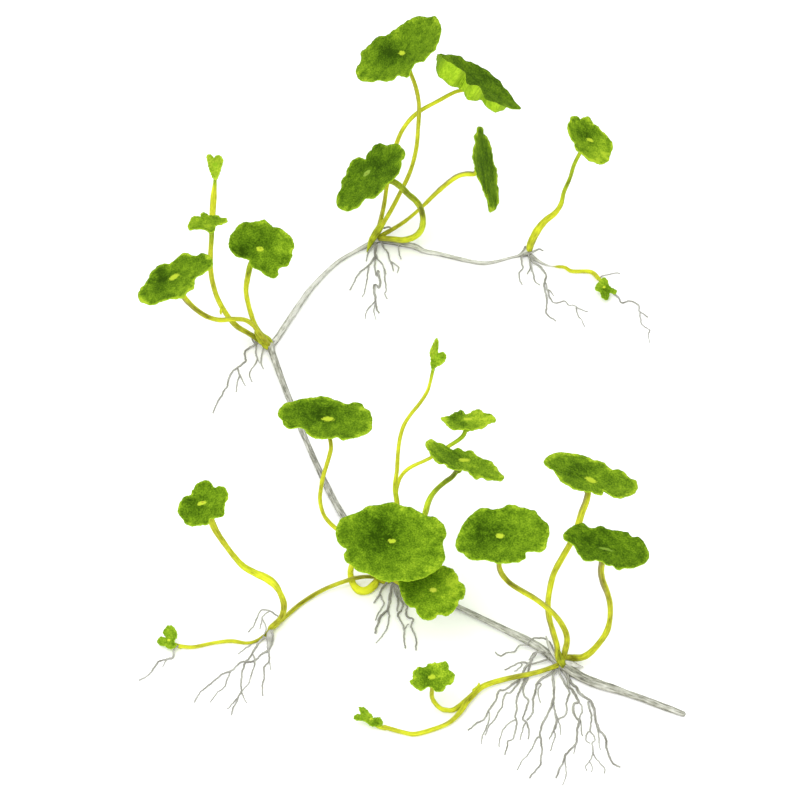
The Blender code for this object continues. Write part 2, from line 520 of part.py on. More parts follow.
def make_blade(name, spot, normal, rim, finish):
    """Make a scalloped blade: a shallow funnel round its spot, with a wavy rim."""
    count = len(rim)
    flat = [on_plane(pixel, spot, normal) for pixel in rim]
    size = sum((point - spot).length for point in flat) / count
    relief = min(1.0, 1.6 * normal.dot(TO_EYE))
    top = []
    for k, pixel in enumerate(rim):
        wave = BLADE_WAVE * size * math.sin(5 * math.tau * k / count)
        rise = BLADE_FUNNEL * (flat[k] - spot).length + wave
        top.append(on_plane(pixel, spot + normal * rise * relief, normal))
    for k in range(0, count, 2):
        sag = size * BLADE_FUNNEL * relief * INNER_RING * (1 - INNER_RING)
        top.append(spot.lerp(top[k], INNER_RING) - normal * sag)
    top.append(spot)
    bm = bmesh.new()
    sheets = []
    for drop in (0.0, BLADE_THICKNESS):
        sheets.append([bm.verts.new(point - normal * drop) for point in top])
    for sheet in sheets:
        middle = sheet[-1]
        for k in range(0, count, 2):
            after = (k + 2) % count
            inner = sheet[count + k // 2]
            next_inner = sheet[count + after // 2]
            bm.faces.new((sheet[k], sheet[k + 1], inner))
            bm.faces.new((sheet[k + 1], sheet[after], next_inner, inner))
            bm.faces.new((inner, next_inner, middle))
    for k in range(count):
        after = (k + 1) % count
        bm.faces.new((sheets[0][k], sheets[0][after], sheets[1][after], sheets[1][k]))
    bmesh.ops.recalc_face_normals(bm, faces=bm.faces)
    new_part(name, bm, finish)


def turned_frames(points):
    """Return two cross directions at each point of a route, without twist, from its end."""
    frames = []
    side = RIGHT
    for k in reversed(range(len(points))):
        before = points[max(k - 1, 0)]
        after = points[min(k + 1, len(points) - 1)]
        way = (after - before).normalized()
        if not frames and abs(way.dot(RIGHT)) > 0.9:
            side = Vector((0.0, 1.0, 0.0))
        side = (side - way * side.dot(way)).normalized()
        frames.append((side, way.cross(side)))
    frames.reverse()
    return frames


def stalk_route(node, base_mm, top, places):
    """Return a stalk's route pixels as points, from its base to just under its top."""
    base = at_height(node, NODE_HEIGHT[node]) + Vector(base_mm) * MM
    reach = [0.0]
    upward = list(reversed(places))
    for k in range(1, len(upward)):
        step = math.dist(upward[k][:2], upward[k - 1][:2])
        reach.append(reach[-1] + step)
    first = math.dist(upward[0][:2], node)
    last = 20.0
    total = first + reach[-1] + last
    points = [base]
    for place, so_far in zip(upward, reach):
        if len(place) > 2:
            points.append(at_height(place, place[2] * MM))
        else:
            share = (first + so_far) / total
            points.append(at_depth(place, base.y + (top.y - base.y) * share))
    return points


def make_stalk(name, node, base_mm, spot, normal, places):
    """Make the stalk that carries a blade, ending just under it."""
    below = BLADE_THICKNESS + GAP
    points = stalk_route(node, base_mm, spot, places)
    points.append(spot - normal * (below + 0.0035))
    points.append(spot - normal * below)
    points = along(points, STALK_STEPS)
    points[-2] = points[-1] - normal * 0.0030
    rings = []
    for k, (side, other) in enumerate(turned_frames(points)):
        share = k / STALK_STEPS
        radius = STALK_RADIUS[1] + (STALK_RADIUS[0] - STALK_RADIUS[1]) * share
        ring = []
        for j in range(STALK_SIDES):
            turn = math.tau * j / STALK_SIDES
            ring.append(points[k] + radius * (math.cos(turn) * side + math.sin(turn) * other))
        rings.append(ring)
    bm = bmesh.new()
    skin_rings(bm, rings)
    new_part(name, bm, "stalk")


def make_bud(name, node, lean_mm, base_mm, tips_mm, bud, stalk):
    """Make a folded young leaf in one piece with its stalk."""
    depth = at_height(node, NODE_HEIGHT[node]).y + lean_mm * MM
    top = at_depth(bud[0][0], depth)
    points = stalk_route(node, base_mm, top, stalk)
    points.append(top)
    points = along(points, STALK_STEPS)
    sizes = []
    for k in range(len(points)):
        radius = STALK_RADIUS[1] + (bud[0][1] * MM - STALK_RADIUS[1]) * k / STALK_STEPS
        sizes.append((radius, radius))
    for pixel, half_width, half_depth in bud[1:]:
        points.append(at_depth(pixel, depth))
        sizes.append((half_width * MM, half_depth * MM))
    rings = []
    for point, size, (side, other) in zip(points, sizes, turned_frames(points)):
        ring = []
        for j in range(RUNNER_SIDES):
            turn = math.tau * j / RUNNER_SIDES
            ring.append(point + size[0] * math.cos(turn) * side + size[1] * math.sin(turn) * other)
        rings.append(ring)
    left, middle, right = tips_mm
    lifts = (right, middle, middle, left, middle, middle)
    rings[-1] = [point + UP * lift * MM for point, lift in zip(rings[-1], lifts)]
    bm = bmesh.new()
    skin_rings(bm, rings)
    new_part(name, bm, "young_leaf")


def grow(bm, face, route, joints, widths):
    """Extrude a face along a route on the surface.

    A joint is a step of the route that branches leave: a short length follows it, and
    the side faces of that length are returned under the number of the step.
    """
    stops = []
    for k, point in enumerate(route):
        stops.append((point, None))
        if k + 1 in joints:
            after = route[min(k + 1, len(route) - 1)]
            before = route[k - 1] if k else face.calc_center_median()
            way = (after - point) if k + 1 < len(route) else (point - before)
            way.z = 0.0
            stops.append((point + way.normalized() * JOINT_LENGTH, k + 1))
    sides = {}
    for k, (target, joint) in enumerate(stops):
        centre = face.calc_center_median()
        out = Vector((face.normal.x, face.normal.y, 0.0)).normalized()
        old_side = Vector((-out.y, out.x, 0.0))
        after = stops[min(k + 1, len(stops) - 1)][0]
        before = stops[k - 1][0] if k else centre
        way = Vector((after.x - before.x, after.y - before.y, 0.0)).normalized()
        side = Vector((-way.y, way.x, 0.0))
        share = (k + 1) / len(stops)
        width = widths[0] + (widths[1] - widths[0]) * share
        face = bmesh.ops.extrude_discrete_faces(bm, faces=[face])["faces"][0]
        for vert in face.verts:
            left = 1 if (vert.co - centre).dot(old_side) > 0 else -1
            high = vert.co.z > centre.z
            vert.co = target + side * left * width / 2
            vert.co.z = ROOT_HEIGHT * (1 - 0.4 * share) if high else 0.0
        bm.normal_update()
        if joint:
            walls = [other for edge in face.edges for other in edge.link_faces if other is not face]
            sides[joint] = [wall for wall in walls if abs(wall.normal.z) < 0.7]
    return sides


def make_tuft(name, crown, radius, roots):
    """Make a root tuft: a low crown with tapering roots and branches, in one piece."""
    bm = bmesh.new()
    bmesh.ops.create_cone(bm, cap_ends=True, segments=CROWN_SIDES, radius1=radius,
                          radius2=radius * 0.8, depth=CROWN_HEIGHT)
    middle = at_height(crown, 0.0)
    bmesh.ops.translate(bm, verts=bm.verts, vec=middle + Vector((0, 0, CROWN_HEIGHT / 2)))
    bm.normal_update()
    crown_faces = [face for face in bm.faces if len(face.verts) == 4]
    grown = []
    for number, root in enumerate(roots):
        faces, pixels, widths = crown_faces, root, ROOT_WIDTH
        if isinstance(root, tuple):
            parent, step, pixels = root
            faces = grown[parent][step]
            widths = (sum(ROOT_WIDTH) / 2, ROOT_WIDTH[1])
        joints = {other[1] for other in roots if isinstance(other, tuple) and other[0] == number}
        route = [at_height(pixel, 0.0) for pixel in pixels]
        start = max(faces, key=lambda face: face_fit(face, route[0]))
        faces.remove(start)
        grown.append(grow(bm, start, route, joints, widths))
    new_part(name, bm, "root", smooth=False)


def face_fit(face, target):
    """Return how well a face looks towards a target, 1 at best."""
    way = target - face.calc_center_median()
    way.z = 0.0
    out = Vector((face.normal.x, face.normal.y, 0.0))
    return out.normalized().dot(way.normalized())


def build():
    """Make the whole plant."""
    for old in list(bpy.data.objects):
        bpy.data.objects.remove(old)
    for name, stem in STEMS.items():
        make_stem(name, **stem)
    for name, leaf in LEAVES.items():
        middle = at_height(leaf["node"], NODE_HEIGHT[leaf["node"]])
        depth = middle.y + leaf["lean_mm"] * MM
        spot = at_depth(leaf["spot"], depth)
        normal = leaf_normal(leaf["openness"], leaf["roll"])
        make_blade(name, spot, normal, leaf["rim"], "leaf")
        stalk_name = name.replace("leaf", "stalk")
        make_stalk(stalk_name, leaf["node"], leaf["base_mm"], spot, normal, leaf["stalk"])
    for name, bud in BUDS.items():
        make_bud(name, **bud)
    for name, tip in TIP_LEAVES.items():
        spot = at_height(tip["spot"], tip["height_mm"] * MM)
        make_blade(name, spot, leaf_normal(tip["openness"], tip["roll"]), tip["rim"], "young_leaf")
    for name, tuft in TUFTS.items():
        make_tuft(name, **tuft)


build()
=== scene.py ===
"""The looks of a whorled pennywort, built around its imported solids.

Most pieces take the place of a solid with a finer mesh. The scales, sheaths and stubs at
the nodes take the place of none. As in the solids, places are pixels of a picture of the
plant, put at real heights or depths.
"""

import math

import bpy
import numpy as np
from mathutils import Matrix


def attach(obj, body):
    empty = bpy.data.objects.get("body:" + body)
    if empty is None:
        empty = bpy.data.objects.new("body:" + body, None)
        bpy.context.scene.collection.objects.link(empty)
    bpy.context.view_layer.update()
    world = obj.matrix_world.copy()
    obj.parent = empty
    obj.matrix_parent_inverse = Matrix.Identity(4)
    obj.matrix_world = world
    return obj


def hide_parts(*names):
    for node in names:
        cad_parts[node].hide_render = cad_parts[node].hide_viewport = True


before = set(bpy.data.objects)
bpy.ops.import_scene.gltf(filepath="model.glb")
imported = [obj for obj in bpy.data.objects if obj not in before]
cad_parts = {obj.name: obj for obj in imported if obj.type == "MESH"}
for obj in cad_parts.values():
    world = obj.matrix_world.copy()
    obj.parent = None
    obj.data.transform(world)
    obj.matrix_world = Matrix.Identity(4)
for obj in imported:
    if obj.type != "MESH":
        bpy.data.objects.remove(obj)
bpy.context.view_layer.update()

# The picture, which is 0.3 metres wide at the point it aims at
PICTURE_PIXELS = 800
PICTURE_MIDDLE = PICTURE_PIXELS / 2
PIXEL = 0.300 / PICTURE_PIXELS
MM = 0.001

# The eye that sees the picture
VIEW_ELEVATION = math.radians(40)
EYE_DISTANCE = 1.6667
AIM = np.array((-0.0010, 0.0392, 0.0))
RIGHT = np.array((1.0, 0.0, 0.0))
UP = np.array((0.0, math.sin(VIEW_ELEVATION), math.cos(VIEW_ELEVATION)))
TO_EYE = np.array((0.0, -math.cos(VIEW_ELEVATION), math.sin(VIEW_ELEVATION)))
EYE = AIM + EYE_DISTANCE * TO_EYE

# Blades, in metres: the thickness at the middle and at the rim, how far the lip stands
# out, the ripple toward the rim, and half the length of the bend where an edge turns up
BLADE_THICKNESS = (0.00050, 0.00030)
BLADE_LIP = 0.00012
BLADE_RIPPLE = 0.00022
CURL_BEND = 0.0015

# Blades, beside their size: how much they rise with the distance from the middle, how much
# the rim waves up and down, and how much lower its lobes hang
BLADE_FUNNEL = 0.09
BLADE_WAVE = 0.018
LOBE_DROP = 0.2

# How many pixels a blade's outline crinkles
BLADE_CRINKLE = 0.28

# Folded young leaves: how much they face the eye, which way they lean, and their funnel
BUD_POSE = (0.90, 180)
BUD_FUNNEL = 0.45

# Stalks: how far under its blade one turns toward it, how far under it one ends, also in
# young leaves, and about how many pixels the last place of its route is from its top
STALK_TURN = 0.0042
STALK_END = 0.0006
YOUNG_STALK_END = 0.0004
STALK_TURN_PIXELS = 20.0

# Stems: the length of the swelling before a node, and the height, beside the radius, and
# the length of their lumps and grooves
SWELLING = 0.0045
LUMP_HEIGHT = 0.05
LUMP_LENGTH = 0.006
GROOVE_HEIGHT = 0.05
GROOVE_LENGTH = 0.02

# How far outside a stem or a root a route may start and still be led into it
FURTHEST_START = 0.006

# Roots: how high they spring, how many pixels they take to come down, how wide they are
# beside the solids', how much narrower at the end, and how much they wave
ROOT_RISE = 0.0016
ROOT_FALL_PIXELS = 14
ROOT_WIDTH = 0.90
ROOT_TAPER = 0.35
ROOT_WAVE = 0.00012

# The lowest that a point may lie
FLOOR_GAP = 0.00002

# Steps between two given points of a smooth curve
CURVE_STEPS = 12

# Points along each sort of tube, and around it
STEM_MESH = (90, 20)
STALK_MESH = (80, 14)
SCALE_MESH = (24, 12)
ROOT_SIDES = 6

# How bright the room's light makes a white surface, from 1 for plain white
BRIGHTNESS = 1.35


def srgb(red, green, blue):
    """Return the colour that shows as screen values of 0 to 255 in the room's light."""
    out = []
    for value in (red, green, blue):
        value /= 255
        linear = value / 12.92 if value <= 0.04045 else ((value + 0.055) / 1.055) ** 2.4
        out.append(linear / BRIGHTNESS)
    return (*out, 1.0)


# The plant's nodes, by the pixels that show them, and how high their middles are
NODE_1 = (561, 664)
NODE_2 = (393, 578)
NODE_3 = (270, 347)
NODE_4 = (378, 240)
NODE_5 = (528, 254)
NODE_6 = (268, 633)
NODE_7 = (467, 701)
NODE_HEIGHT = {
    NODE_1: 0.0022,
    NODE_2: 0.0018,
    NODE_3: 0.0017,
    NODE_4: 0.0015,
    NODE_5: 0.0018,
    NODE_6: 0.0012,
    NODE_7: 0.0020,
}

# Stems, each from its older end: finish, the radii at both ends and the knob's at the far
# end, and route pixels, with the height in mm of the underside where it isn't 0
STEMS = {
    "rhizome_old_end": dict(
        finish="rhizome", radii=(0.0015, 0.0021), knob=0.0024,
        route=[(684, 713), (662, 705), (641, 697), (620, 690), (600, 684), (581, 676), NODE_1]),
    "rhizome_1_to_2": dict(
        finish="rhizome", radii=(0.0018, 0.0015), knob=0.002,
        route=[NODE_1, (536, 645), (500, 626), (457, 605), (425, 591), NODE_2]),
    "rhizome_2_to_3": dict(
        finish="rhizome", radii=(0.0016, 0.0012), knob=0.0018,
        route=[NODE_2, (352, 528), (334, 500), (318, 467), (304, 435), (291, 403), (283, 383), NODE_3]),
    "rhizome_3_to_4": dict(
        finish="rhizome", radii=(0.0011, 0.001), knob=0.0016,
        route=[NODE_3, (278, 337), (285, 326), (291, 317), (301, 302), (312, 287), (332, 266), (351, 253),
            NODE_4]),
    "rhizome_4_to_5": dict(
        finish="rhizome", radii=(0.001, 0.0006), knob=0.002,
        route=[NODE_4, (412, 246), (424, 251), (440, 254), (465, 260), (483, 263), (497, 261), (511, 257),
            NODE_5]),
    "runner_right": dict(
        finish="runner", radii=(0.0007, 0.0007), knob=0,
        route=[NODE_5, (540, 262), (550, 266), (564, 267), (572, 271), (591, 272), (598, 278, 1)]),
    "runner_left_near": dict(
        finish="runner", radii=(0.0009, 0.001), knob=0.0014,
        route=[NODE_2 + (2.4,), (377, 577, 2.8), (363, 577, 3), (349, 580, 3), (325, 589, 1.2), (303, 602),
            (284, 618), NODE_6]),
    "runner_left_far": dict(
        finish="runner", radii=(0.0008, 0.0008), knob=0,
        route=[NODE_6, (258, 640), (247, 643), (231, 641), (213, 643), (193, 647), (179, 646, 0.8)]),
    "runner_front": dict(
        finish="runner", radii=(0.0011, 0.0009), knob=0,
        route=[NODE_1 + (1.4,), (545, 670, 1.4), (530, 674, 1.4), (506, 679, 1.4), (484, 686, 1.4),
            (472, 696, 1.2), (466, 703, 1.1), (461, 711, 0.9), (450, 722, 0.5), (434, 729), (415, 734),
            (402, 732), (384, 727, 0.8)]),
}

# How the stems look, by percent of the way: how dark, which side has painted shade, with
# painted light on the other, how much of the finish's other colours shows, and the size
# against the radii in STEMS
STEM_LOOKS = {
    "rhizome_old_end": dict(
        dark={0: 0.05, 20: 0.15, 80: 0.2, 100: 0.3}, side={0: -0.1, 100: -0.2},
        size={0: 0.62, 10: 0.68, 45: 0.66, 57: 0.83, 80: 0.78, 100: 0.85}),
    "rhizome_1_to_2": dict(
        dark={0: 0.25, 15: 0, 50: 0.1, 100: 0.15},
        size={0: 0.95, 15: 0.84, 25: 0.8, 33: 0.64, 50: 0.58, 100: 0.64}),
    "rhizome_2_to_3": dict(
        dark={0: 0.15, 35: 0.18, 60: 0.25, 90: 0.14, 100: 0.1},
        size={0: 0.85, 40: 0.8, 50: 0.74, 65: 0.76, 85: 0.88, 100: 1}),
    "rhizome_3_to_4": dict(
        dark={0: 0.05, 12: -0.2, 80: -0.25, 100: 0.1},
        size={0: 1.15, 12: 1.1, 20: 1, 40: 1, 55: 0.9, 65: 0.72, 85: 0.7, 95: 1}),
    "rhizome_4_to_5": dict(
        dark={0: 0.35, 15: 0.2, 25: -0.15, 40: -0.1, 50: 0.1, 60: -0.05, 80: -0.1, 100: 0.1},
        size={0: 1, 15: 1.1, 23: 1.25, 32: 1, 50: 0.93, 70: 1, 80: 0.75, 90: 0.6, 94: 0.8, 100: 1.2}),
    "runner_right": dict(
        other={40: 1, 44: 0}, dark={0: 0.2, 30: 0},
        size={0: 1.6, 15: 1.1, 38: 0.45, 42: 0.45, 46: 0.85, 60: 1, 80: 1.1, 100: 1.2}),
    "runner_left_near": dict(
        dark={0: 0.6, 22: 0.45, 30: 0.15, 42: 0.1, 50: 0.35, 70: 0.3, 85: 0.1, 100: -0.1},
        side={0: 0.6, 25: 0.5, 40: 0.4, 60: 0.2, 80: 0.3, 100: 0.4},
        size={0: 0.85, 22: 0.75, 31: 0.84, 70: 0.82, 88: 0.78, 100: 0.62}),
    "runner_left_far": dict(
        dark={0: 0.3, 12: 0.35, 22: 0.15, 32: 0.02, 60: -0.05, 70: 0.1, 80: 0.1, 100: -0.05},
        side={0: 0.3, 15: 0.2, 100: 0.1},
        size={0: 0.95, 12: 0.72, 30: 0.66, 40: 0.84, 60: 0.82, 80: 0.8, 100: 0.85}),
    "runner_front": dict(
        dark={0: 0.3, 12: 0.05, 20: 0.1, 25: 0.3, 30: 0.1, 40: 0, 50: 0.15, 60: 0.05, 80: -0.05, 90: -0.05,
            100: 0.05}, side={0: 0.2, 25: 0.4, 35: 0, 60: 0.1, 70: 0.5, 77: 0},
        size={0: 0.8, 12: 0.82, 22: 0.82, 31: 0.92, 41: 1.03, 50: 1.1, 60: 0.95, 70: 0.75, 80: 0.83,
            100: 0.85}),
}

# Leaves: the node, the pixel where the stalk meets the blade, how far the blade stands
# behind its node, how much it faces the eye, from 0 to 1, how far it leans to the right in
# degrees, where its stalk starts from the node's middle, the stalk's route from the blade
# down, with a height in mm where the leaf's depth doesn't give it, and the outline
LEAVES = {
    "leaf_01": dict(
        node=NODE_4, spot=(402, 53), lean_mm=5, openness=0.5, roll=-38, base_mm=(-1.4, 0, 2),
        stalk=[(410, 71), (416, 88), (419, 106), (418, 130), (416, 150), (410, 172), (400, 193), (390, 212),
            (380, 228)],
        rim=[(435, 16), (439, 22), (441, 28), (440, 37), (436, 46), (434, 51), (430, 54), (424, 60),
            (416, 63), (411, 70), (407, 77), (402, 76), (397, 76), (392, 80), (384, 81), (378, 80),
            (372, 82), (366, 81), (360, 80), (356, 73), (357, 66), (361, 60), (361, 53), (366, 47),
            (372, 42), (379, 36), (386, 35), (394, 30), (402, 24), (410, 19), (419, 16), (427, 17)]),
    "leaf_02": dict(
        node=NODE_4, spot=(472, 80), lean_mm=10, openness=0.33, roll=31, base_mm=(-0.2, 2, 1.6),
        stalk=[(455, 92), (438, 101), (420, 111), (408, 122), (399, 137), (392, 160), (387, 185),
            (384, 205), (380, 223)],
        rim=[(436, 60), (439, 54), (445, 55), (451, 54), (460, 56), (466, 61), (472, 62), (480, 66),
            (487, 70), (493, 76), (499, 79), (503, 86), (508, 91), (513, 98), (518, 104), (521, 109),
            (514, 109), (507, 107), (502, 111), (495, 113), (489, 109), (483, 101), (475, 101), (468, 100),
            (463, 92), (457, 87), (450, 86), (443, 80), (438, 76), (436, 70)]),
    "leaf_03": dict(
        node=NODE_4, spot=(367, 173), lean_mm=-20, openness=0.46, roll=-43, base_mm=(1.6, -1, 1.6),
        stalk=[(391, 181), (401, 187), (408, 194), (416, 201), (421, 209), (423, 220), (421, 230),
            (414, 237), (403, 240), (392, 239)],
        rim=[(371, 150), (374, 146), (380, 143), (386, 145), (397, 144), (402, 148), (405, 153), (404, 158),
            (401, 161), (401, 166), (398, 173), (394, 179), (386, 184), (383, 190), (378, 195), (372, 198),
            (365, 199), (360, 205), (355, 208), (349, 211), (343, 210), (338, 207), (336, 200), (338, 194),
            (341, 188), (341, 181), (346, 175), (347, 168), (352, 161), (359, 157), (365, 159),
            (367, 154)]),
    "leaf_04": dict(
        node=NODE_4, spot=(485, 171), lean_mm=0, openness=0.27, roll=80, base_mm=(1.6, 1, 1.6),
        stalk=[(474, 174), (465, 174), (456, 177), (444, 186), (432, 197), (424, 205), (414, 214),
            (404, 222), (393, 229)],
        rim=[(478, 127), (483, 128), (484, 133), (488, 138), (490, 144), (492, 149), (493, 154), (493, 159),
            (494, 164), (497, 169), (498, 176), (497, 182), (499, 190), (499, 198), (498, 205), (495, 210),
            (490, 212), (489, 207), (488, 201), (485, 194), (482, 187), (480, 181), (477, 175), (475, 169),
            (474, 161), (473, 154), (474, 147), (476, 141), (475, 136), (477, 131)]),
    "leaf_05": dict(
        node=NODE_5, spot=(590, 140), lean_mm=0, openness=0.6, roll=40, base_mm=(0.5, 0.2, 2.4),
        stalk=[(580, 153), (574, 165), (570, 178), (564, 192), (561, 204), (555, 213), (545, 221),
            (537, 231), (531, 243)],
        rim=[(571, 117), (577, 116), (580, 119), (584, 117), (589, 117), (592, 120), (594, 124), (598, 126),
            (600, 129), (604, 132), (607, 136), (611, 140), (613, 145), (612, 150), (610, 156), (608, 161),
            (602, 164), (596, 163), (589, 160), (585, 157), (581, 153), (578, 151), (575, 147), (574, 142),
            (571, 138), (568, 131), (568, 125), (570, 121)]),
    "leaf_06": dict(
        node=NODE_3, spot=(174, 277), lean_mm=-20, openness=0.5, roll=-30, base_mm=(-1, -0.5, 2.4),
        stalk=[(184, 297), (190, 304), (198, 311), (208, 317), (220, 320), (233, 319), (245, 320),
            (253, 325), (259, 333)],
        rim=[(187, 253), (192, 255), (197, 255), (203, 253), (209, 256), (212, 260), (212, 265), (208, 270),
            (201, 275), (195, 278), (194, 284), (193, 289), (187, 292), (184, 297), (178, 298), (170, 299),
            (163, 301), (154, 304), (147, 304), (140, 301), (138, 295), (140, 288), (144, 285), (148, 279),
            (151, 272), (157, 266), (163, 264), (171, 263), (175, 259), (181, 254)]),
    "leaf_07": dict(
        node=NODE_3, spot=(260, 249), lean_mm=0, openness=0.86, roll=28, base_mm=(-0.2, 1.5, 2.1),
        stalk=[(251, 264), (248, 276), (246, 290), (248, 303), (251, 314), (255, 325), (261, 334)],
        rim=[(230, 249), (229, 242), (231, 235), (235, 230), (239, 225), (245, 222), (252, 222), (258, 221),
            (264, 220), (269, 223), (273, 227), (278, 227), (284, 231), (289, 235), (293, 240), (294, 247),
            (292, 252), (292, 256), (290, 261), (287, 266), (281, 267), (278, 270), (278, 275), (273, 278),
            (266, 275), (259, 270), (252, 267), (249, 260), (243, 258), (236, 256)]),
    "leaf_08": dict(
        node=NODE_3, spot=(209, 222), lean_mm=-1, openness=0.45, roll=-8, base_mm=(-2.4, 0.9, 1.3),
        stalk=[(212, 233), (211, 250), (211, 270), (215, 291), (224, 310), (236, 325), (248, 333)],
        rim=[(188, 226), (190, 220), (194, 216), (200, 216), (201, 213), (206, 213), (210, 215), (216, 215),
            (221, 217), (226, 218), (227, 222), (221, 224), (216, 226), (214, 231), (209, 232), (203, 229),
            (196, 229), (190, 230)]),
    "leaf_10": dict(
        node=NODE_2, spot=(328, 419), lean_mm=4, openness=0.47, roll=3, base_mm=(-2.2, 0.4, 1.9),
        stalk=[(330, 439), (331, 448), (329, 457), (326, 467), (323, 477), (321, 488), (320, 500),
            (323, 513), (329, 522), (340, 532), (356, 546), (374, 562)],
        rim=[(278, 414), (281, 407), (288, 402), (298, 400), (306, 398), (314, 397), (322, 396), (330, 398),
            (338, 400), (343, 403), (348, 404), (355, 402), (361, 403), (365, 408), (370, 412), (372, 418),
            (372, 424), (371, 430), (366, 434), (359, 436), (352, 438), (344, 440), (338, 437), (330, 438),
            (322, 439), (314, 437), (307, 433), (303, 428), (296, 427), (289, 428), (284, 425),
            (282, 420)]),
    "leaf_11": dict(
        node=NODE_2, spot=(392, 541), lean_mm=-29, openness=0.74, roll=5, base_mm=(-2.6, -1.4, -0.6),
        stalk=[(372, 553, 27), (356, 559, 16), (351, 568, 6.5), (351, 578, 1.9), (355, 587, 1.2),
            (361, 591, 1.1), (368, 590, 1.1), (374, 585, 1.1), (378, 580, 1.1)],
        rim=[(336, 532), (338, 524), (342, 518), (349, 515), (356, 513), (362, 510), (369, 506), (377, 505),
            (386, 503), (394, 502), (401, 506), (410, 507), (418, 511), (426, 515), (434, 517), (440, 521),
            (445, 528), (446, 535), (443, 541), (443, 548), (445, 555), (443, 563), (436, 570), (428, 575),
            (419, 579), (409, 581), (399, 580), (390, 581), (381, 580), (373, 576), (367, 573), (359, 571),
            (353, 566), (346, 561), (344, 555), (347, 549), (342, 546), (337, 539)]),
    "leaf_12": dict(
        node=NODE_2, spot=(433, 590), lean_mm=-36, openness=0.82, roll=0, base_mm=(0.4, -2.9, 1.9),
        stalk=[(424, 592), (412, 589), (403, 585)],
        rim=[(399, 584), (398, 577), (403, 570), (410, 566), (418, 563), (427, 562), (436, 564), (445, 566),
            (452, 569), (457, 575), (459, 581), (464, 585), (465, 592), (463, 598), (459, 600), (457, 606),
            (452, 612), (446, 616), (438, 614), (435, 618), (429, 620), (423, 619), (418, 614), (415, 608),
            (409, 606), (404, 600), (401, 593), (400, 588)]),
    "leaf_13": dict(
        node=NODE_2, spot=(468, 419), lean_mm=28, openness=0.34, roll=0, base_mm=(-1.8, 4.4, 1.8),
        stalk=[(466, 430), (463, 436), (457, 441), (449, 446), (440, 452), (432, 457), (424, 461),
            (415, 465), (408, 469), (402, 475), (398, 483), (396, 494), (397, 506), (396, 535)],
        rim=[(441, 418), (446, 416), (451, 415), (455, 412), (461, 410), (464, 413), (470, 413), (474, 410),
            (480, 409), (484, 413), (490, 413), (493, 416), (496, 419), (494, 422), (488, 424), (483, 428),
            (477, 429), (470, 430), (462, 429), (455, 430), (449, 427), (445, 423)]),
    "leaf_14": dict(
        node=NODE_2, spot=(464, 460), lean_mm=-6, openness=0.3, roll=24, base_mm=(2, 1.7, 1.5),
        stalk=[(457, 471), (452, 477), (445, 482), (438, 488), (432, 495), (428, 503), (425, 514),
            (418, 532), (407, 554)],
        rim=[(426, 443), (431, 439), (437, 442), (443, 444), (448, 447), (452, 449), (459, 448), (463, 451),
            (468, 450), (473, 451), (477, 456), (483, 458), (490, 461), (496, 466), (500, 472), (504, 477),
            (502, 480), (494, 480), (487, 480), (482, 477), (476, 479), (472, 476), (468, 471), (462, 470),
            (455, 470), (449, 467), (444, 464), (438, 463), (433, 457), (428, 450)]),
    "leaf_16": dict(
        node=NODE_1, spot=(500, 536), lean_mm=-5, openness=0.62, roll=0, base_mm=(0.9, 0.6, 2.8),
        stalk=[(499, 563), (500, 570), (504, 577), (511, 584), (522, 591), (534, 598), (545, 606),
            (554, 614), (561, 623), (566, 633), (567, 642), (565, 651)],
        rim=[(456, 541), (459, 533), (462, 527), (466, 520), (472, 514), (479, 509), (487, 508), (494, 509),
            (501, 508), (508, 505), (515, 505), (522, 507), (528, 509), (535, 511), (540, 517), (546, 522),
            (549, 528), (549, 534), (547, 541), (545, 549), (540, 552), (533, 551), (526, 552), (525, 558),
            (519, 562), (512, 562), (505, 563), (497, 563), (490, 561), (484, 559), (476, 560), (468, 558),
            (463, 553), (457, 549)]),
    "leaf_17": dict(
        node=NODE_1, spot=(591, 480), lean_mm=18, openness=0.36, roll=17, base_mm=(-1.2, 0.9, 2.7),
        stalk=[(588, 493), (586, 502), (582, 512), (579, 522), (575, 533), (570, 544), (562, 558),
            (554, 573), (550, 588), (548, 603), (549, 617), (553, 632), (557, 646)],
        rim=[(544, 462), (548, 456), (555, 453), (563, 452), (572, 453), (580, 455), (588, 456), (593, 460),
            (601, 461), (607, 465), (612, 469), (620, 470), (626, 473), (630, 478), (636, 481), (638, 487),
            (636, 491), (633, 494), (628, 496), (620, 498), (611, 495), (605, 491), (602, 494), (597, 494),
            (591, 492), (583, 491), (576, 489), (569, 486), (562, 482), (558, 476), (553, 470),
            (548, 467)]),
    "leaf_18": dict(
        node=NODE_1, spot=(606, 549), lean_mm=-9, openness=0.42, roll=15, base_mm=(0.6, 0.6, 2.2),
        stalk=[(602, 563), (601, 572), (603, 582), (607, 592), (610, 604), (610, 618), (607, 631),
            (600, 642), (591, 652), (583, 657), (574, 658, 2.2)],
        rim=[(564, 534), (568, 529), (575, 525), (582, 523), (588, 526), (594, 528), (600, 526), (607, 528),
            (613, 530), (620, 531), (627, 532), (632, 536), (638, 537), (643, 541), (647, 547), (649, 554),
            (647, 561), (640, 565), (632, 568), (625, 568), (619, 569), (613, 566), (607, 565), (602, 561),
            (596, 560), (590, 561), (584, 560), (580, 555), (576, 549), (572, 544), (568, 541),
            (564, 538)]),
    "leaf_19": dict(
        node=NODE_6, spot=(202, 503), lean_mm=-8, openness=0.76, roll=-33, base_mm=(1.2, 0.8, 2),
        stalk=[(211, 520), (216, 531), (224, 543), (233, 555), (243, 566), (255, 573), (266, 578),
            (275, 585), (281, 595), (284, 606), (281, 618)],
        rim=[(178, 509), (180, 502), (184, 497), (190, 495), (193, 489), (198, 483), (205, 480), (210, 482),
            (214, 487), (220, 486), (225, 488), (227, 492), (228, 498), (225, 503), (224, 509), (224, 515),
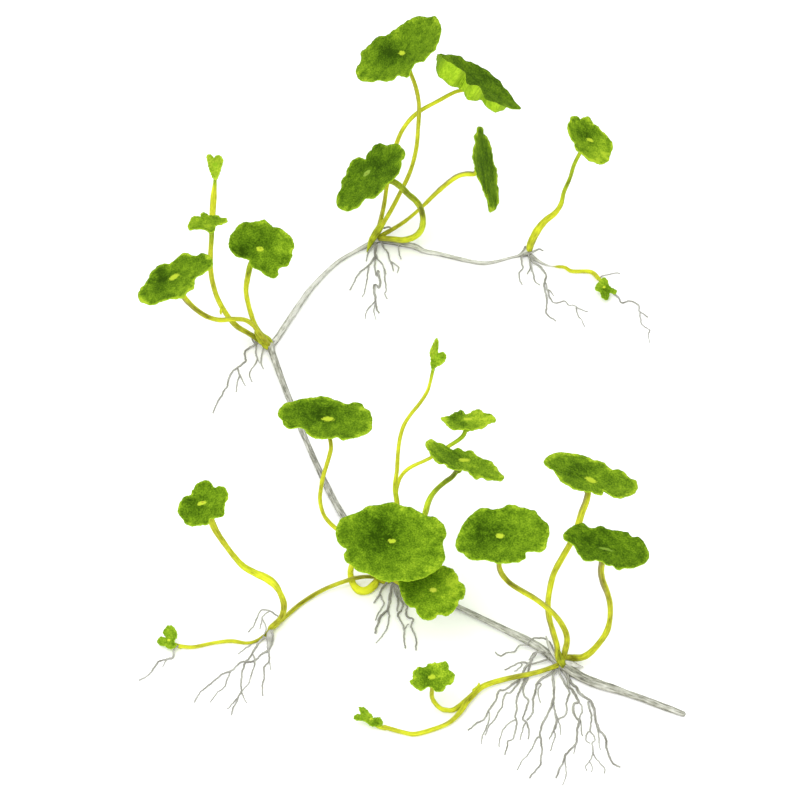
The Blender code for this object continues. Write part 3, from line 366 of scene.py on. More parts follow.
            (219, 517), (213, 518), (209, 520), (208, 524), (201, 525), (194, 526), (186, 524), (183, 519),
            (180, 516), (178, 512)]),
    "leaf_21": dict(
        node=NODE_7, spot=(432, 677), lean_mm=-6, openness=0.7, roll=-5, base_mm=(1.2, 2.2, -0.1),
        stalk=[(432, 690), (432, 697), (435, 703), (440, 708, 2.4), (446, 710, 1.6), (455, 709, 1.3)],
        rim=[(410, 682), (413, 678), (413, 672), (416, 669), (420, 667), (425, 667), (428, 664), (433, 663),
            (438, 663), (444, 661), (448, 664), (449, 670), (454, 673), (454, 679), (451, 684), (446, 685),
            (443, 691), (436, 691), (432, 687), (427, 687), (422, 690), (416, 688)]),
}

# How the leaves look. tint: how dark the blade is. spot: half length, half width and angle
# of the pale spot, in pixels and degrees. centre: its colour. rim_highlight: how pale the
# rim is, a painted highlight. painted_shades: patches of painted shade, or of painted light
# below 0, by pixel, half width, half height and strength. curls: how many pixels the edge
# turns up, by number of the rim point. stalk: by percent of the way up, its width in
# pixels, how dark it is, in places a painted shadow under the blade, which side has painted
# shade, 1 for the right, with painted light on the other, and how green it is. A first or
# last value holds to the end
LEAF_LOOKS = {
    "leaf_01": dict(
        spot=(3, 2.2, 0), rim_highlight=0.2, painted_shades=[(388, 53, 12, 12, 0.5), (405, 56, 10, 9, 0.2)],
        stalk=dict(width={0: 5.5, 12: 4.6, 30: 4.6, 60: 4.3},
            dark={0: 0.15, 15: 0, 35: 0.1, 60: 0, 80: 0.1, 100: 0.15}, side={0: -0.2, 60: -0.1, 75: -0.4})),
    "leaf_02": dict(
        tint=0.12, spot=(0.1, 0.1, 0), rim_highlight=0.1, painted_shades=[(480, 80, 30, 12, 0.14)],
        curls={0: 6, 29: 14, 28: 17, 27: 18, 26: 19, 25: 16, 24: 8, 23: 17, 22: 12, 21: 3, 20: 8, 19: 9,
            18: 5},
        stalk=dict(width={0: 5.5, 15: 4.5, 50: 4.6, 80: 4.2, 100: 3.8},
            dark={0: 0.1, 30: 0.05, 50: 0.05, 60: -0.1, 100: -0.05},
            side={0: -0.5, 40: -0.4, 50: 0.1, 60: -0.2})),
    "leaf_03": dict(
        tint=0.13, spot=(4, 2, -42), centre=srgb(150, 182, 70), rim_highlight=0.35,
        painted_shades=[(380, 165, 16, 10, 0.22), (352, 190, 10, 12, -0.06)],
        stalk=dict(width={0: 5, 10: 6, 30: 6.8, 45: 6.2, 60: 6.6, 100: 6.2},
            dark={0: 0.4, 12: 0.1, 22: -0.2, 35: -0.2, 45: 0.05, 50: 0.6, 56: 0.2, 66: 0.35, 78: 0.1,
                100: 0.3}, side={0: 0.3, 15: 0.4, 25: -0.3, 50: -0.2, 100: 0},
            green={0: 0, 25: 0.2, 35: 0.45, 50: 0.3, 65: 0.5, 100: 0.6})),
    "leaf_04": dict(
        tint=0.04, spot=(0.1, 0.1, 0), rim_highlight=0.5,
        painted_shades=[(486, 165, 7, 25, 0.25), (475, 150, 3, 14, -0.2)],
        stalk=dict(width={0: 5, 15: 4.3, 35: 3.7, 45: 4.2, 60: 5.2, 70: 5.4, 100: 5.2},
            dark={0: 0.15, 12: 0.25, 22: 0.05, 50: 0, 70: -0.05, 85: -0.3},
            side={0: 0, 40: -0.1, 50: -0.3, 60: -0.7, 80: -1, 100: -0.9})),
    "leaf_05": dict(
        tint=-0.12, spot=(3.8, 1.6, 20), rim_highlight=0.35,
        painted_shades=[(585, 133, 10, 9, 0.45), (601, 157, 9, 7, -0.35)],
        stalk=dict(width={0: 6, 12: 8.2, 25: 7.6, 38: 6, 50: 4.7, 65: 4.2, 100: 4},
            dark={0: 0.15, 12: -0.05, 22: -0.15, 32: 0.1, 45: 0, 60: 0.1, 70: 0.2, 80: 0},
            side={0: 0.1, 12: 0.3, 25: 0.1, 50: 0, 65: 0.2, 75: -0.2},
            green={0: 0.1, 40: 0, 50: 0.35, 65: 0.7, 100: 0.6})),
    "leaf_06": dict(
        tint=0.02, spot=(5.5, 2.4, -32), rim_highlight=0.4,
        painted_shades=[(162, 279, 12, 11, 0.43), (182, 290, 14, 9, -0.18)],
        stalk=dict(width={0: 5, 20: 4.8, 45: 4.9, 60: 5.2, 80: 5.6, 100: 5.4},
            dark={0: 0.3, 20: 0.15, 50: -0.05, 57: 0.3, 68: 0.35, 76: 0},
            side={0: 0.2, 45: 0.3, 60: 0, 74: -0.7, 80: -0.9})),
    "leaf_07": dict(
        tint=0.04, spot=(4, 2.4, 0), rim_highlight=0.25,
        painted_shades=[(243, 250, 12, 9, 0.4), (263, 238, 11, 8, 0.25), (282, 240, 9, 12, -0.25),
            (266, 266, 12, 6, 0.1)],
        stalk=dict(width={25: 5, 40: 4.9, 55: 5, 70: 6, 100: 6.4},
            dark={0: 0.1, 20: 0.2, 30: -0.05, 50: -0.05, 58: 0.1, 66: 0, 78: 0.15, 100: 0.2},
            side={0: 0.2, 30: -0.1, 60: -0.1, 100: -0.2}, green={22: 0.3, 30: 0, 70: 0.1, 80: 0.6})),
    "leaf_08": dict(
        tint=-0.24, spot=(0.1, 0.1, 0), painted_shades=[(214, 222, 8, 8, 0.14)],
        stalk=dict(width={0: 5.5, 30: 4.7, 50: 5, 80: 4.4, 100: 4.6},
            dark={0: 0.2, 12: 0.45, 20: 0.25, 30: 0.05, 41: -0.15, 60: 0.1, 80: 0, 100: 0.1},
            side={0: 0.2, 30: -0.1, 50: -0.3, 70: -0.3, 90: 0},
            green={0: 0.2, 25: 0, 82: 0, 90: 0.7, 100: 0.8})),
    "leaf_10": dict(
        tint=0.04, spot=(6, 2.2, 0), painted_shades=[(320, 413, 19, 10, 0.46), (352, 418, 14, 14, -0.02)],
        stalk=dict(width={0: 5, 30: 4.4, 50: 3.9, 80: 4},
            dark={0: 0.1, 50: 0, 80: 0.05, 90: 0.25, 100: 0.3}, side={45: -0.1, 50: 0.2, 100: -0.1})),
    "leaf_11": dict(
        tint=-0.02, spot=(4, 2.2, 0), rim_highlight=0.2,
        painted_shades=[(380, 537, 22, 18, 0.49), (378, 520, 14, 9, 0.14), (420, 535, 18, 20, -0.07),
            (420, 568, 22, 8, -0.15)],
        stalk=dict(width={0: 4, 6: 5, 12: 7.8, 20: 8, 28: 6, 40: 5.4, 100: 4},
            dark={0: 0.5, 4: 0.3, 8: -0.1, 15: -0.35, 50: -0.3, 100: 0})),
    # Leaf 12 lies under leaf 11: its first two patches are leaf 11's painted shadow, and its lighter tint
    # and brighter centre are painted light that offsets the real shadow of leaf 11
    "leaf_12": dict(
        tint=-0.14, spot=(3.6, 2.2, 0), centre=srgb(222, 232, 80), rim_highlight=0.25,
        painted_shades=[(412, 586, 14, 12, 0.32), (430, 578, 10, 8, 0.2), (452, 588, 9, 16, -0.2)],
        stalk=dict(width={0: 5, 100: 4})),
    "leaf_13": dict(
        tint=-0.24, spot=(4.4, 1.4, 0), rim_highlight=0.35,
        painted_shades=[(456, 416, 8, 7, 0.45), (464, 425, 7, 3, 0.35), (443, 418, 5, 5, -0.3),
            (484, 418, 9, 8, -0.2)],
        stalk=dict(width={0: 5, 40: 4.3, 65: 3.4, 80: 3.8, 100: 4.4}, side={0: 0, 50: 0.2, 60: -0.2},
            dark={0: 0, 45: -0.05, 60: -0.2, 70: -0.1, 85: -0.15, 100: 0},
            green={0: 0.2, 55: 0, 75: 0.3, 85: 0.9, 100: 1})),
    "leaf_14": dict(
        tint=-0.12, spot=(5.6, 1.8, 4), painted_shades=[(452, 457, 13, 8, 0.34)],
        stalk=dict(width={0: 5, 50: 5.6, 60: 6, 68: 4.8, 80: 4.7, 100: 4.6},
            dark={0: 0, 50: -0.05, 70: -0.05, 76: 0.25, 90: 0.4, 100: 0.45},
            side={0: 0, 55: 0.3, 75: 0.3, 85: -0.5, 100: -0.8},
            green={0: 0.1, 40: 0.5, 60: 0.7, 100: 0.8})),
    "leaf_16": dict(
        tint=0.02, spot=(4, 2.6, 0), rim_highlight=0.25,
        painted_shades=[(484, 533, 14, 15, 0.41), (505, 534, 10, 10, 0.11), (533, 530, 13, 14, -0.06)],
        stalk=dict(width={0: 5.5, 20: 5.6, 35: 5, 50: 5.3, 100: 4.6},
            dark={0: 0.35, 12: 0.05, 25: 0.15, 50: 0, 60: 0.05, 68: 0.38, 74: 0.25, 80: 0.15, 100: 0.2},
            side={0: 0.1, 12: -0.2, 20: -0.1, 35: 0.3, 50: 0.5, 62: 0.3, 72: 0.1, 80: -0.7, 100: -0.8})),
    "leaf_17": dict(
        tint=-0.05, spot=(6.4, 2.2, 22), painted_shades=[(578, 470, 16, 9, 0.38), (605, 480, 10, 8, 0.08)],
        stalk=dict(width={0: 5.5, 15: 5.3, 50: 5.8, 65: 5.8, 80: 6.2, 100: 6},
            dark={0: 0.3, 10: 0, 22: 0.05, 40: -0.15, 50: -0.05, 65: 0.05, 78: -0.1, 88: 0, 100: 0.2},
            side={0: -0.1, 12: -0.6, 25: -0.5, 40: -0.3, 60: -0.3, 80: -0.1, 88: -0.8, 100: -0.9})),
    "leaf_18": dict(
        tint=0.14, spot=(7, 1.2, 14), centre=srgb(130, 164, 56), rim_highlight=0.25,
        painted_shades=[(592, 543, 16, 9, 0.22)],
        stalk=dict(width={0: 6.5, 15: 6.6, 30: 5.8, 42: 5.9, 52: 5, 70: 5.6, 100: 6},
            dark={12: 0.3, 22: -0.1, 32: 0.1, 40: 0.12, 50: 0.15, 60: 0.05, 70: 0.2, 80: 0.3},
            side={0: 0.1, 30: 0, 45: 0.1, 60: 0.2, 66: -0.4, 72: -0.9, 100: -1})),
    "leaf_19": dict(
        tint=0.06, spot=(4.6, 1.8, -15), painted_shades=[(195, 503, 11, 10, 0.27), (216, 500, 10, 14, -0.07)],
        stalk=dict(width={0: 5, 20: 6, 30: 5.6, 38: 8, 45: 7.6, 52: 6.2, 70: 5, 80: 6, 90: 6.4},
            dark={20: 0.2, 32: 0.05, 42: -0.25, 50: -0.2, 60: -0.05, 70: 0.1, 78: 0.15, 90: 0, 100: 0.2},
            side={0: -0.1, 50: 0, 70: -0.2, 80: 0, 100: 0.2}, green={0: 0, 45: 0.05, 55: 0.25, 70: 0})),
    "leaf_21": dict(
        tint=-0.16, spot=(3.6, 2.2, -10), rim_highlight=0.2,
        painted_shades=[(426, 678, 8, 8, 0.35), (442, 672, 8, 10, -0.11)],
        stalk=dict(width={0: 5, 20: 4.6, 50: 4.3, 100: 4},
            dark={22: 0.05, 32: -0.2, 50: -0.25, 60: 0, 70: 0.15, 100: 0.2}, side={0: 0, 50: -0.2})),
}

# Half-folded young leaves on their own stalks: the node, how far the blade stands behind
# it, where the stalk starts, the blade's outline, foot, which is the pixel where the stalk
# goes behind the cupped blade, painted_shades as above, patches of painted shade and
# painted light, the looks of the stalk and its route from the blade down
BUDS = {
    "young_leaf_09": dict(
        node=NODE_3, lean_mm=12, base_mm=(-2, 2.9, 1),
        outline=[(207, 156), (211, 155), (214, 159), (216, 156), (220, 156), (223, 161), (221, 168),
            (219, 175), (216, 180), (213, 178), (210, 171), (208, 163)], foot=(215, 181),
        # The broad patch below 0 is painted light that lightens the whole blade
        painted_shades=[(214, 178, 5, 5, 0.15), (215, 166, 60, 60, -0.22)],
        width={0: 5.5, 23: 4.8, 42: 4.8, 65: 4.4, 75: 6.2, 85: 6.4, 89: 4.8, 91: 3.6, 100: 2.6},
        dark={0: 0.2, 11: 0.4, 28: 0, 51: -0.05, 61: 0.1, 80: -0.15, 88: 0, 100: 0.1},
        green={0: 0.2, 23: 0, 56: 0.1, 70: 0, 88: 0, 91: 0.9, 100: 1},
        stalk=[(214, 192), (213, 206), (212, 222), (211, 242), (210, 262), (212, 281), (218, 300),
            (226, 314), (236, 326), (248, 333), (257, 338)]),
    "young_leaf_15": dict(
        node=NODE_2, lean_mm=20, base_mm=(0.2, 1, 2.6),
        outline=[(436, 339), (438, 341), (437, 348), (438, 354), (441, 353), (444, 353), (446, 357),
            (444, 362), (440, 365), (435, 368), (433, 371), (431, 366), (431, 359), (430, 353), (432, 347)],
        # The broad patch below 0 is painted light that lightens the whole blade
        foot=(433, 370), painted_shades=[(434, 366, 5, 6, 0.35), (442, 358, 4, 4, 0.3), (438, 355, 60, 60, -0.22)],
        width={0: 6, 38: 5, 47: 4, 85: 3.3, 100: 3.2},
        green={0: 0.2, 38: 0.4, 45: 0, 88: 0.1, 93: 0.9, 100: 1},
        stalk=[(430, 383), (427, 392), (420, 403), (411, 414), (404, 425), (400, 438), (398, 453),
            (397, 470), (395, 487), (397, 503), (397, 520), (396, 547)]),
}

# Young leaves that end the runners: the pixel of the blade's middle and its height, how
# much it faces the eye, how far it leans to the right, foot, which is the stalk's route,
# painted_shades, patches of painted shade, the blade's outline and the looks of the stalk
TIP_LEAVES = {
    "tip_leaf_left": dict(
        spot=(169, 640), height_mm=3.2, openness=0.8, roll=-40, foot=[(181, 647, 1), (174, 644, 1.6)],
        painted_shades=[(174, 643, 6, 5, 0.3)],
        rim=[(157, 641), (160, 637), (164, 638), (165, 636), (163, 632), (165, 628), (170, 625), (175, 629),
            (177, 636), (174, 641), (176, 646), (170, 649), (165, 646), (160, 645)],
        looks=dict(width={0: 4.2, 60: 3.4, 100: 2.4}, green={0: 0, 60: 0.6, 100: 1})),
    "tip_leaf_front": dict(
        spot=(371, 719), height_mm=3.4, openness=0.75, roll=20, foot=[(386, 728, 1), (378, 726, 1.6)],
        painted_shades=[(377, 722, 5, 4, 0.25)],
        rim=[(354, 717), (357, 714), (361, 715), (359, 707), (365, 708), (370, 713), (374, 718), (379, 717),
            (383, 723), (377, 726), (370, 725), (365, 721), (360, 720), (356, 720)],
        looks=dict(width={0: 4.4, 50: 4, 100: 2.4}, green={0: 0, 60: 0.6, 100: 1})),
    "tip_leaf_right": dict(
        spot=(604, 287), height_mm=3.6, openness=0.8, roll=20, foot=[(597, 277, 1.2), (601, 281, 2)],
        painted_shades=[(606, 290, 7, 7, 0.3)],
        rim=[(600, 281), (604, 277), (608, 281), (609, 286), (613, 288), (617, 291), (614, 294), (610, 292),
            (609, 297), (606, 300), (602, 297), (600, 292), (595, 289), (597, 284)],
        looks=dict(width={0: 4.4, 60: 3.2, 100: 2.2}, green={0: 0, 60: 0.6, 100: 1})),
}

# Scales, sheaths and stubs at the nodes: finish, widths in pixels at even steps, how dark,
# how much of the finish's other colours shows, and route pixels with heights in mm
SCALES = {
    "sheath_node_4": dict(
        finish="stalk", widths=[5, 7.5, 8, 5, 1], dark=0.12, other=0.3,
        route=[(385, 220, 10.5), (381, 226, 8), (376, 233, 5), (371, 241, 2.4), (367, 252, 0.4)]),
    "sheath_node_3": dict(
        finish="stalk", widths=[4, 7, 8, 6, 2], dark=0.2, other=0.2,
        route=[(256, 331, 9), (259, 336, 7), (263, 342, 4.5), (266, 347, 2.5), (269, 350, 1.4)]),
    "sheath_node_1": dict(
        finish="stalk", widths=[3, 5, 7, 6, 3], dark=0.35, other=0.3,
        route=[(559, 651, 8), (560, 656, 6.4), (561, 660, 5), (563, 665, 3.2), (566, 668, 2)]),
    "scale_node_1_left": dict(
        finish="rhizome", widths=[1, 3, 5, 4],
        route=[(546, 636, 7), (549, 645, 6.4), (553, 653, 5), (558, 661, 3)]),
    "scale_node_1_right": dict(
        finish="rhizome", widths=[1, 4, 6, 5], dark=-0.1,
        route=[(583, 667, 1), (577, 666, 2.2), (571, 664, 3), (564, 662, 3.4)]),
    "scale_node_6": dict(
        finish="root", widths=[3, 6, 6, 3], dark=-0.1,
        route=[(273, 628, 2.4), (270, 634, 2), (270, 640, 1.2), (268, 648, 0.5)]),
    "stub_node_7": dict(
        finish="stalk", widths=[5, 4, 1.5], other=0.2,
        route=[(474, 691, 2.6), (478, 687, 3.4), (479, 683, 4.2)]),
    "stub_stalk_08": dict(
        finish="stalk", widths=[3, 3, 2], dark=-0.1,
        route=[(222, 308, 21.5), (221, 311, 20.5), (221, 314, 19.5)]),
    "stub_stalk_04": dict(
        finish="root", widths=[1.6, 2.2, 1], dark=0.1,
        route=[(379, 232, 5.5), (383, 226, 8), (387, 220, 10.5)]),
    "stub_node_4": dict(
        finish="root", widths=[1.6, 2, 1.6], dark=0.1,
        route=[(381, 228, 5.8), (384, 228, 5.2), (389, 227, 5), (393, 230, 4)]),
}

# Roots: for each solid, the pixel they spring from, and each root's width in pixels at its
# start and route pixels, with a height in mm where it isn't on the surface
ROOTS = {
    "roots_1": dict(crown=(558, 672), roots=[
        (2.6, [(555, 669), (547, 676), (541, 679), (537, 684), (535, 692), (533, 700), (533, 710),
            (532, 714), (527, 720)]),
        (1.5, [(541, 684), (538, 690), (539, 697), (540, 703)]),
        (2.6, [(556, 670), (553, 677), (554, 690), (553, 700), (550, 709), (546, 717), (542, 725),
            (540, 733), (541, 741), (542, 750), (541, 757), (540, 765), (536, 770), (532, 774),
            (530, 778)]),
        (1.6, [(537, 738), (533, 746), (529, 753), (522, 761), (517, 770)]),
        (1.8, [(554, 690), (554, 705), (555, 713), (556, 720), (554, 729), (555, 736), (553, 743),
            (550, 751)]),
        (1.5, [(555, 712), (558, 719), (560, 727), (561, 735)]),
        (2.2, [(559, 669), (561, 676), (565, 684), (569, 691), (568, 698), (566, 704), (567, 711),
            (564, 716), (558, 720), (555, 728), (549, 739)]),
        (2.8, [(563, 670), (567, 678), (569, 686), (572, 690), (576, 696), (578, 702), (574, 704),
            (573, 711), (576, 717), (579, 722), (577, 730), (577, 737), (576, 743), (571, 749), (566, 754),
            (563, 762), (559, 770), (556, 778)]),
        (1.7, [(578, 702), (582, 706), (582, 711), (580, 717), (581, 724), (582, 736)]),
        (1.4, [(576, 743), (574, 754)]),
        (1.5, [(565, 755), (566, 772), (565, 780), (562, 785)]),
        (3, [(567, 672), (571, 683), (576, 687), (579, 692), (584, 697), (590, 700), (593, 706), (595, 714),
            (596, 722), (599, 729), (603, 734), (606, 740), (607, 750), (611, 760), (615, 765),
            (620, 767)]),
        (1.5, [(596, 722), (598, 732), (600, 750)]),
        (1.8, [(588, 702), (589, 707), (591, 714), (591, 724), (590, 731), (594, 736), (595, 740),
            (592, 743), (593, 750), (594, 755), (597, 760), (602, 765), (605, 769), (604, 773)]),
        (1.6, [(590, 731), (587, 733), (586, 740), (590, 743)]),
        (1.4, [(593, 750), (591, 759), (587, 764), (585, 767), (587, 771)]),
        (1.3, [(590, 762), (592, 767), (592, 772)]),
    ]),
    "roots_1_side": dict(crown=(538, 656), roots=[
        (2.2, [(554, 657, 4), (553, 648, 4.5), (549, 642, 4.8), (543, 638, 4.8), (532, 639, 4.6),
            (527, 644, 4.2), (519, 646, 2), (515, 651, 1), (506, 653), (501, 656), (495, 652)]),
        (2.2, [(545, 660, 2), (536, 663), (530, 664), (525, 662), (519, 663), (512, 666), (505, 670)]),
        (1.5, [(522, 665), (517, 670), (514, 671)]),
        (2.4, [(540, 652, 3.8), (537, 652, 3.6), (534, 656, 2), (531, 661), (529, 667), (528, 675),
            (526, 682), (523, 688), (524, 695), (528, 700), (527, 706), (523, 718), (526, 722), (529, 730),
            (528, 739)]),
        (1.5, [(526, 722), (523, 728), (520, 740)]),
        (1.8, [(537, 652, 3.8), (532, 655, 2), (529, 660)]),
        (2.4, [(532, 660), (525, 668), (520, 678), (513, 684), (504, 690), (500, 690), (497, 695),
            (495, 702), (490, 708), (484, 719), (477, 723), (468, 730)]),
        (1.5, [(489, 710), (489, 720), (486, 728), (483, 734), (481, 744)]),
        (1.9, [(520, 680), (516, 686), (513, 690), (509, 693), (506, 693), (503, 700), (502, 706),
            (498, 713), (494, 720), (489, 726), (485, 735)]),
        (2.2, [(526, 676), (521, 688), (518, 695), (516, 701), (517, 708), (515, 716), (517, 723),
            (515, 731), (513, 739), (508, 741), (507, 746), (505, 755)]),
        (1.5, [(515, 720), (509, 723), (505, 727), (503, 730), (500, 738), (499, 747)]),
    ]),
    "roots_2": dict(crown=(392, 582), roots=[
        (2.6, [(390, 581), (387, 582), (382, 589), (380, 593), (377, 598), (374, 603)]),
        (1.7, [(380, 594), (382, 599), (384, 603), (381, 609), (378, 614), (375, 620)]),
        (3.4, [(396, 582), (392, 586), (391, 590), (390, 597), (389, 604), (388, 609), (385, 612),
            (381, 616), (379, 620), (377, 626), (375, 633)]),
        (1.8, [(388, 609), (389, 617), (388, 624), (385, 632), (381, 637), (376, 643)]),
        (2.4, [(394, 584), (395, 590), (397, 597), (398, 604), (397, 611)]),
        (2.4, [(398, 584), (399, 590), (400, 598), (403, 604), (401, 610), (398, 615), (401, 622),
            (404, 628), (404, 637), (405, 648)]),
        (1.5, [(404, 630), (407, 625), (409, 624)]),
        (2.4, [(400, 588), (407, 606), (406, 610), (407, 616), (410, 618), (413, 620), (411, 627),
            (414, 633), (416, 639), (416, 650)]),
    ]),
    "roots_3": dict(crown=(262, 347), roots=[
        (2.4, [(262, 345), (257, 343), (253, 346), (249, 348), (245, 352), (245, 358), (246, 361),
            (242, 364), (237, 368), (232, 372), (229, 378), (227, 386), (224, 391), (220, 398), (216, 405),
            (213, 413)]),
        (2.2, [(252, 335, 2), (253, 341), (256, 345)]),
        (1.8, [(238, 369), (239, 376), (237, 384), (236, 392)]),
        (1.5, [(239, 373), (243, 381), (245, 386)]),
        (1.9, [(257, 344), (256, 347), (256, 354), (257, 360), (254, 366), (250, 371), (250, 377),
            (252, 382)]),
        (2, [(265, 346), (264, 348), (262, 354), (261, 361), (263, 369)]),
        (1.4, [(256, 356), (260, 363)]),
        (2.2, [(268, 343, 3), (271, 341, 3), (274, 341, 2.4)]),
    ]),
    "roots_4": dict(crown=(378, 243), roots=[
        (4, [(376, 245), (375, 252), (375, 259)]),
        (2.2, [(374, 258), (368, 266), (360, 272), (355, 280), (350, 290)]),
        (1.7, [(369, 265), (367, 278), (365, 290), (362, 297)]),
        (2.2, [(375, 258), (375, 270), (377, 276), (379, 272)]),
        (2.6, [(378, 271), (380, 282), (379, 288), (376, 284), (374, 286), (374, 292), (375, 299)]),
        (2.8, [(374, 286), (375, 297), (376, 305), (377, 310), (379, 313)]),
        (1.5, [(375, 301), (371, 306)]),
        (1.5, [(371, 306), (367, 310), (365, 319)]),
        (1.3, [(375, 303), (374, 312), (376, 320)]),
        (2, [(376, 255), (378, 259), (382, 264), (386, 274)]),
        (1.7, [(384, 269), (385, 279), (386, 290), (385, 294), (387, 299)]),
        (2.2, [(378, 238), (380, 240), (384, 248), (387, 251), (389, 258), (392, 265), (393, 271)]),
        (1.8, [(398, 243, 1), (399, 252), (401, 259)]),
        (1.6, [(392, 262), (397, 266), (399, 268), (397, 273)]),
        (1.8, [(372, 247), (368, 253), (366, 261)]),
    ]),
    "roots_5": dict(crown=(527, 257), roots=[
        (2, [(523, 256), (521, 258), (522, 264), (523, 268), (519, 273), (520, 280), (522, 285)]),
        (1.9, [(529, 257), (530, 261), (530, 268), (527, 274)]),
        (2, [(530, 262), (533, 273), (535, 281), (540, 285)]),
        (2.4, [(531, 258), (533, 262), (538, 265), (542, 269), (546, 275), (544, 286), (546, 294),
            (547, 303), (546, 312), (550, 317), (556, 321)]),
        (1.8, [(546, 284), (549, 295), (552, 301), (555, 303), (560, 302), (564, 301), (569, 305),
            (573, 305), (578, 308), (583, 310), (588, 312)]),
        (1.5, [(576, 308), (578, 315), (582, 321), (585, 327)]),
        (1.4, [(549, 290), (554, 296)]),
        (2.4, [(531, 253, 3), (534, 251, 4), (539, 249, 4), (543, 251, 3.6)]),
    ]),
    "roots_6": dict(crown=(268, 636), roots=[
        (2, [(281, 622, 2), (279, 618, 3), (275, 614, 4), (270, 611, 4), (264, 610, 3.6), (260, 611, 3),
            (257, 618, 2), (254, 625, 1), (248, 632)]),
        (1.5, [(270, 611, 4), (265, 614, 3), (262, 619, 2), (260, 629, 1)]),
        (1.5, [(262, 618, 2), (266, 627, 2), (264, 635, 2)]),
        (2.2, [(264, 637), (261, 640), (257, 645), (253, 652), (249, 658), (245, 663), (242, 672),
            (241, 682), (241, 692), (238, 697), (236, 703), (233, 708), (231, 715)]),
        (1.6, [(238, 697), (233, 703), (227, 709)]),
        (1.5, [(241, 692), (244, 698), (247, 703)]),
        (1.7, [(253, 655), (255, 662), (252, 672), (249, 682), (242, 691)]),
        (2.2, [(270, 642), (268, 650), (262, 654), (255, 660), (248, 662), (241, 662), (236, 666),
            (231, 671), (222, 674), (214, 681), (206, 687), (199, 694), (194, 702)]),
        (1.6, [(230, 672), (227, 680), (224, 687), (217, 693), (210, 702)]),
        (2.2, [(271, 637), (272, 632, 3), (273, 640), (269, 650), (269, 660), (264, 668), (264, 678),
            (262, 688), (263, 696)]),
        (1.4, [(269, 660), (271, 670)]),
        (1.6, [(253, 642), (249, 646), (243, 650), (238, 654)]),
    ]),
    "roots_left_tip": dict(crown=(175, 647), roots=[
        (2.2, [(175, 647), (174, 650), (173, 657), (167, 659), (158, 662), (154, 668), (150, 673),
            (144, 678), (139, 680)]),
        (1.5, [(167, 659), (162, 667)]),
    ]),
    "roots_right_tip": dict(crown=(611, 290), roots=[
        (1.8, [(600, 278), (602, 276), (606, 275), (615, 273), (620, 274)]),
        (2.2, [(611, 291), (615, 295), (619, 298), (622, 303), (629, 301), (636, 303), (639, 306),
            (639, 311), (644, 314), (648, 317)]),
        (1.6, [(640, 312), (641, 322), (645, 327), (650, 330)]),
        (1.3, [(648, 336), (650, 343)]),
    ]),
}


# Places


def pixel_rays(pixels):
    """Return the directions from the eye through pixels of the picture."""
    pixels = np.asarray(pixels, float)
    across = (pixels[..., 0] - PICTURE_MIDDLE) * PIXEL
    upward = (PICTURE_MIDDLE - pixels[..., 1]) * PIXEL
    return AIM + across[..., None] * RIGHT + upward[..., None] * UP - EYE


def at_height(pixels, height):
    """Return the points that pixels show at a height above the surface."""
    rays = pixel_rays(pixels)
    return EYE + rays * ((np.asarray(height) - EYE[2]) / rays[..., 2])[..., None]


def at_depth(pixels, depth):
    """Return the points that pixels show where Y is the depth."""
    rays = pixel_rays(pixels)
    return EYE + rays * ((np.asarray(depth) - EYE[1]) / rays[..., 1])[..., None]


def on_plane(pixels, points, normal):
    """Return the points that pixels show on planes through points."""
    rays = pixel_rays(pixels)
    return EYE + rays * (((points - EYE) @ normal) / (rays @ normal))[..., None]


def to_pixels(points):
    """Return the pixels that show points."""
    away = np.asarray(points) - EYE
    distance = -(away @ TO_EYE)
    across = (away @ RIGHT) / distance * EYE_DISTANCE
    upward = (away @ UP) / distance * EYE_DISTANCE
    return np.stack((PICTURE_MIDDLE + across / PIXEL, PICTURE_MIDDLE - upward / PIXEL), axis=-1)


def unit(vectors):
    """Return vectors at length 1."""
    vectors = np.asarray(vectors, float)
    return vectors / np.maximum(np.linalg.norm(vectors, axis=-1, keepdims=True), 1e-12)


def reaches(points):
    """Return how far along a route each of its points is."""
    steps = np.linalg.norm(np.diff(points, axis=0), axis=1)
    return np.concatenate(([0.0], np.cumsum(steps)))


def along(points, count, closed=False):
    """Return points at even distances on a smooth curve through the given ones."""
    points = np.asarray(points, float)
    size = len(points)
    t = np.linspace(0, 1, CURVE_STEPS, endpoint=False)[:, None]
    pieces = []
    for k in range(size if closed else size - 1):
        numbers = np.arange(k - 1, k + 3)
        p0, p1, p2, p3 = points[numbers % size if closed else numbers.clip(0, size - 1)]
        curve = 2 * p1 + (p2 - p0) * t + (2 * p0 - 5 * p1 + 4 * p2 - p3) * t**2
        pieces.append((curve + (3 * p1 - p0 - 3 * p2 + p3) * t**3) / 2)
    pieces.append(points[:1] if closed else points[-1:])
    fine = np.concatenate(pieces)
    reach = reaches(fine)
    wanted = np.linspace(0, reach[-1], count, endpoint=not closed)
    return np.stack([np.interp(wanted, reach, column) for column in fine.T], axis=1)


def grown_from(tubes, points):
    """Return a route with a start added inside the nearest tube, where it starts just outside one.

    tubes are arrays of centre points with a radius.
    """
    if not tubes:
        return list(points)
    rows = np.concatenate(tubes)
    gaps = np.linalg.norm(rows[:, :3] - points[0], axis=1) - rows[:, 3]
    nearest = gaps.argmin()
    if not -0.5 * rows[nearest, 3] < gaps[nearest] < FURTHEST_START:
        return list(points)
    return [rows[nearest, :3], *points]


def seed_of(name):
    """Return a number for the random waves of a piece."""
    return sum(map(ord, name))


def waves(values, seed, count=4, slowest=1.0):
    """Return a smooth random wave of about 1 over values, the same for the same seed.

    It is a sum of sines, each quicker and lower than the one before it.
    """
    dice = np.random.default_rng(seed)
    values = np.asarray(values, float)
    total = np.zeros_like(values)
    for k in range(count):
        pace = slowest * (1.7**k) * dice.uniform(0.8, 1.2)
        total += np.sin(values * pace + dice.uniform(0, math.tau)) / (1 + 0.5 * k)
    return total / 1.6


def smoothed(values, count):
    """Return values around a ring, each as the mean of the count values about it."""
    size = len(values)
    return np.convolve(np.tile(values, 3), np.ones(count) / count, mode="same")[size:2 * size]


# Meshes


